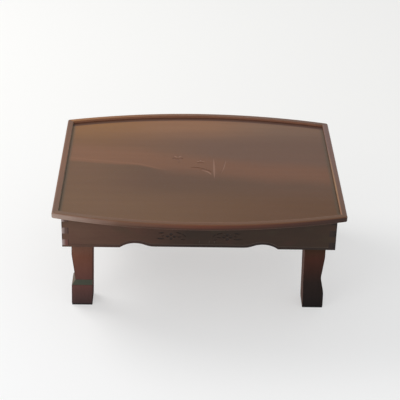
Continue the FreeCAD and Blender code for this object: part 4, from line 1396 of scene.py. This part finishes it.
@dataclass
class Studio:
    """Pale floor, window light and the camera at the photograph's place.

    Attributes:
        floor_size: Side of the floor.
        floor_tone: Tone of the floor in front.
        floor_far: Its tone behind the table.
        haze: How much of plain white is seen over the floor.
        window_place: Middle of the window light.
        window_size: Width and height of the window light.
        window_power: Power of the window light in watts.
        fill_place: Middle of the fill light.
        fill_size: Width and height of the fill light.
        fill_power: Power of the fill light in watts.
        aim: Place that both lights face.
        sky: Colour of the light from all round.
        sky_strength: Its strength.
        backdrop: Brightness that it shows behind the floor.
        camera_place: Where the camera stands.
        elevation: Angle by which it looks down, in degrees.
        heading: Angle by which it is turned to the right, in degrees.
        roll: Angle by which it is tilted, in degrees.
        focal_pixels: Focal length in pixels of the photograph.
        picture_side: Side of the photograph in pixels.
        sensor: Width of the camera's sensor in millimetres.
    """

    floor_size: float = 14.0
    floor_tone: Colour = (0.945, 0.94, 0.932)
    floor_far: Colour = (0.86, 0.845, 0.805)
    haze: float = 0.5
    window_place: tuple[float, float, float] = (-1.9, 1.3, 2.1)
    window_size: tuple[float, float] = (1.8, 1.4)
    window_power: float = 46.0
    fill_place: tuple[float, float, float] = (-1.5, -1.6, 1.3)
    fill_size: tuple[float, float] = (1.2, 1.2)
    fill_power: float = 7.0
    aim: tuple[float, float, float] = (0.0, 0.0, 0.15)
    sky: Colour = (0.96, 0.98, 1.0)
    sky_strength: float = 0.6
    backdrop: float = 0.84
    camera_place: tuple[float, float, float] = (-0.048, -2.410, 1.544)
    elevation: float = 30.0
    heading: float = 1.24
    roll: float = 1.40
    focal_pixels: float = 1264.3
    picture_side: float = 400.0
    sensor: float = 36.0

    def build(self) -> None:
        """Set up floor, lights, sky and camera."""
        self.build_floor()
        self.build_light("window", self.window_place, self.window_size, self.window_power)
        self.build_light("fill", self.fill_place, self.fill_size, self.fill_power)
        world = bpy.data.worlds.new("sky")
        bench = Bench("sky", world)
        strength = self.looked_at(bench) * (self.backdrop - self.sky_strength) + self.sky_strength
        bench.close(bench.node("Background", None, {"Color": self.sky, "Strength": strength}))
        bpy.context.scene.world = world
        bpy.context.scene.view_settings.view_transform = "Standard"
        self.build_camera()

    def build_floor(self) -> None:
        """Lay the plain pale floor."""
        mesh = bmesh.new()
        bmesh.ops.create_grid(mesh, x_segments=8, y_segments=8, size=self.floor_size / 2)
        floor = stand(mesh, "floor")
        bench = Bench("pale_floor")
        clouds = bench.noise((1.2, 1.2, 0))
        far = bench.spot[1].ease(-0.6, 1.0)
        tone = bench.blend(far, self.floor_tone, self.floor_far)
        tone = bench.blend(clouds.ease(0.3, 0.7) * 0.1, tone, self.floor_far)
        lit = bench.node("BsdfPrincipled", None, {"Base Color": tone, "Roughness": 0.6 + clouds * 0.1})
        glow = bench.node("Emission", None, {"Strength": 1.0})
        mixed = bench.node("MixShader", None, {0: self.looked_at(bench) * self.haze, 1: lit, 2: glow})
        floor.data.materials.append(bench.close(mixed))

    @staticmethod
    def looked_at(bench: Bench) -> Signal:
        """Mask of what the camera sees, also by reflection or through glass."""
        rays = [bench.node("LightPath", result=f"Is {kind} Ray") for kind in ("Camera", "Glossy", "Transmission")]
        return (rays[0] + rays[1] + rays[2]).smaller(1.0)

    def build_light(self, name: str, place: Sequence[float], size: Sequence[float], power: float) -> None:
        """Hang a soft rectangular light that faces the table.

        Args:
            name: The light's name.
            place: Its middle.
            size: Its width and height.
            power: Its power in watts.
        """
        data = bpy.data.lights.new(name, "AREA")
        data.shape = "RECTANGLE"
        data.size, data.size_y = size
        data.energy = power
        lamp = bpy.data.objects.new(name, data)
        lamp.location = place
        lamp.rotation_euler = (Vector(self.aim) - Vector(place)).to_track_quat("-Z", "Y").to_euler()
        bpy.context.scene.collection.objects.link(lamp)

    def build_camera(self) -> None:
        """Stand the camera where the photograph was taken from."""
        down, heading, roll = (math.radians(a) for a in (self.elevation, self.heading, self.roll))
        ahead = Vector(
            (math.sin(heading) * math.cos(down), math.cos(heading) * math.cos(down), -math.sin(down))
        )
        right = Vector((math.cos(heading), -math.sin(heading), 0))
        up = right.cross(ahead)
        level = right * math.cos(roll) + up * math.sin(roll)
        upright = up * math.cos(roll) - right * math.sin(roll)
        data = bpy.data.cameras.new("camera")
        data.sensor_width = self.sensor
        data.lens = self.focal_pixels * self.sensor / self.picture_side
        camera = bpy.data.objects.new("camera", data)
        turn = Matrix((level, upright, -ahead)).transposed().to_4x4()
        camera.matrix_world = Matrix.Translation(self.camera_place) @ turn
        bpy.context.scene.collection.objects.link(camera)
        bpy.context.scene.camera = camera


def main() -> None:
    """Build and dress the table in order, then the studio."""
    logging.basicConfig(level=logging.INFO, format="%(name)s: %(message)s")
    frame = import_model()
    shop = Workshop(frame["nodes"])
    for assembly in (TrayTop(shop), ApronBox(shop), LegSet(shop), UnderFrame(shop)):
        assembly.dress()
        log.info("%s finished", type(assembly).__name__)
    missing = sorted(set(frame["nodes"]) - shop.dressed)
    if missing:
        raise RuntimeError(f"pieces without a finish: {missing}")
    Studio().build()


if __name__ == "__main__":
    main()
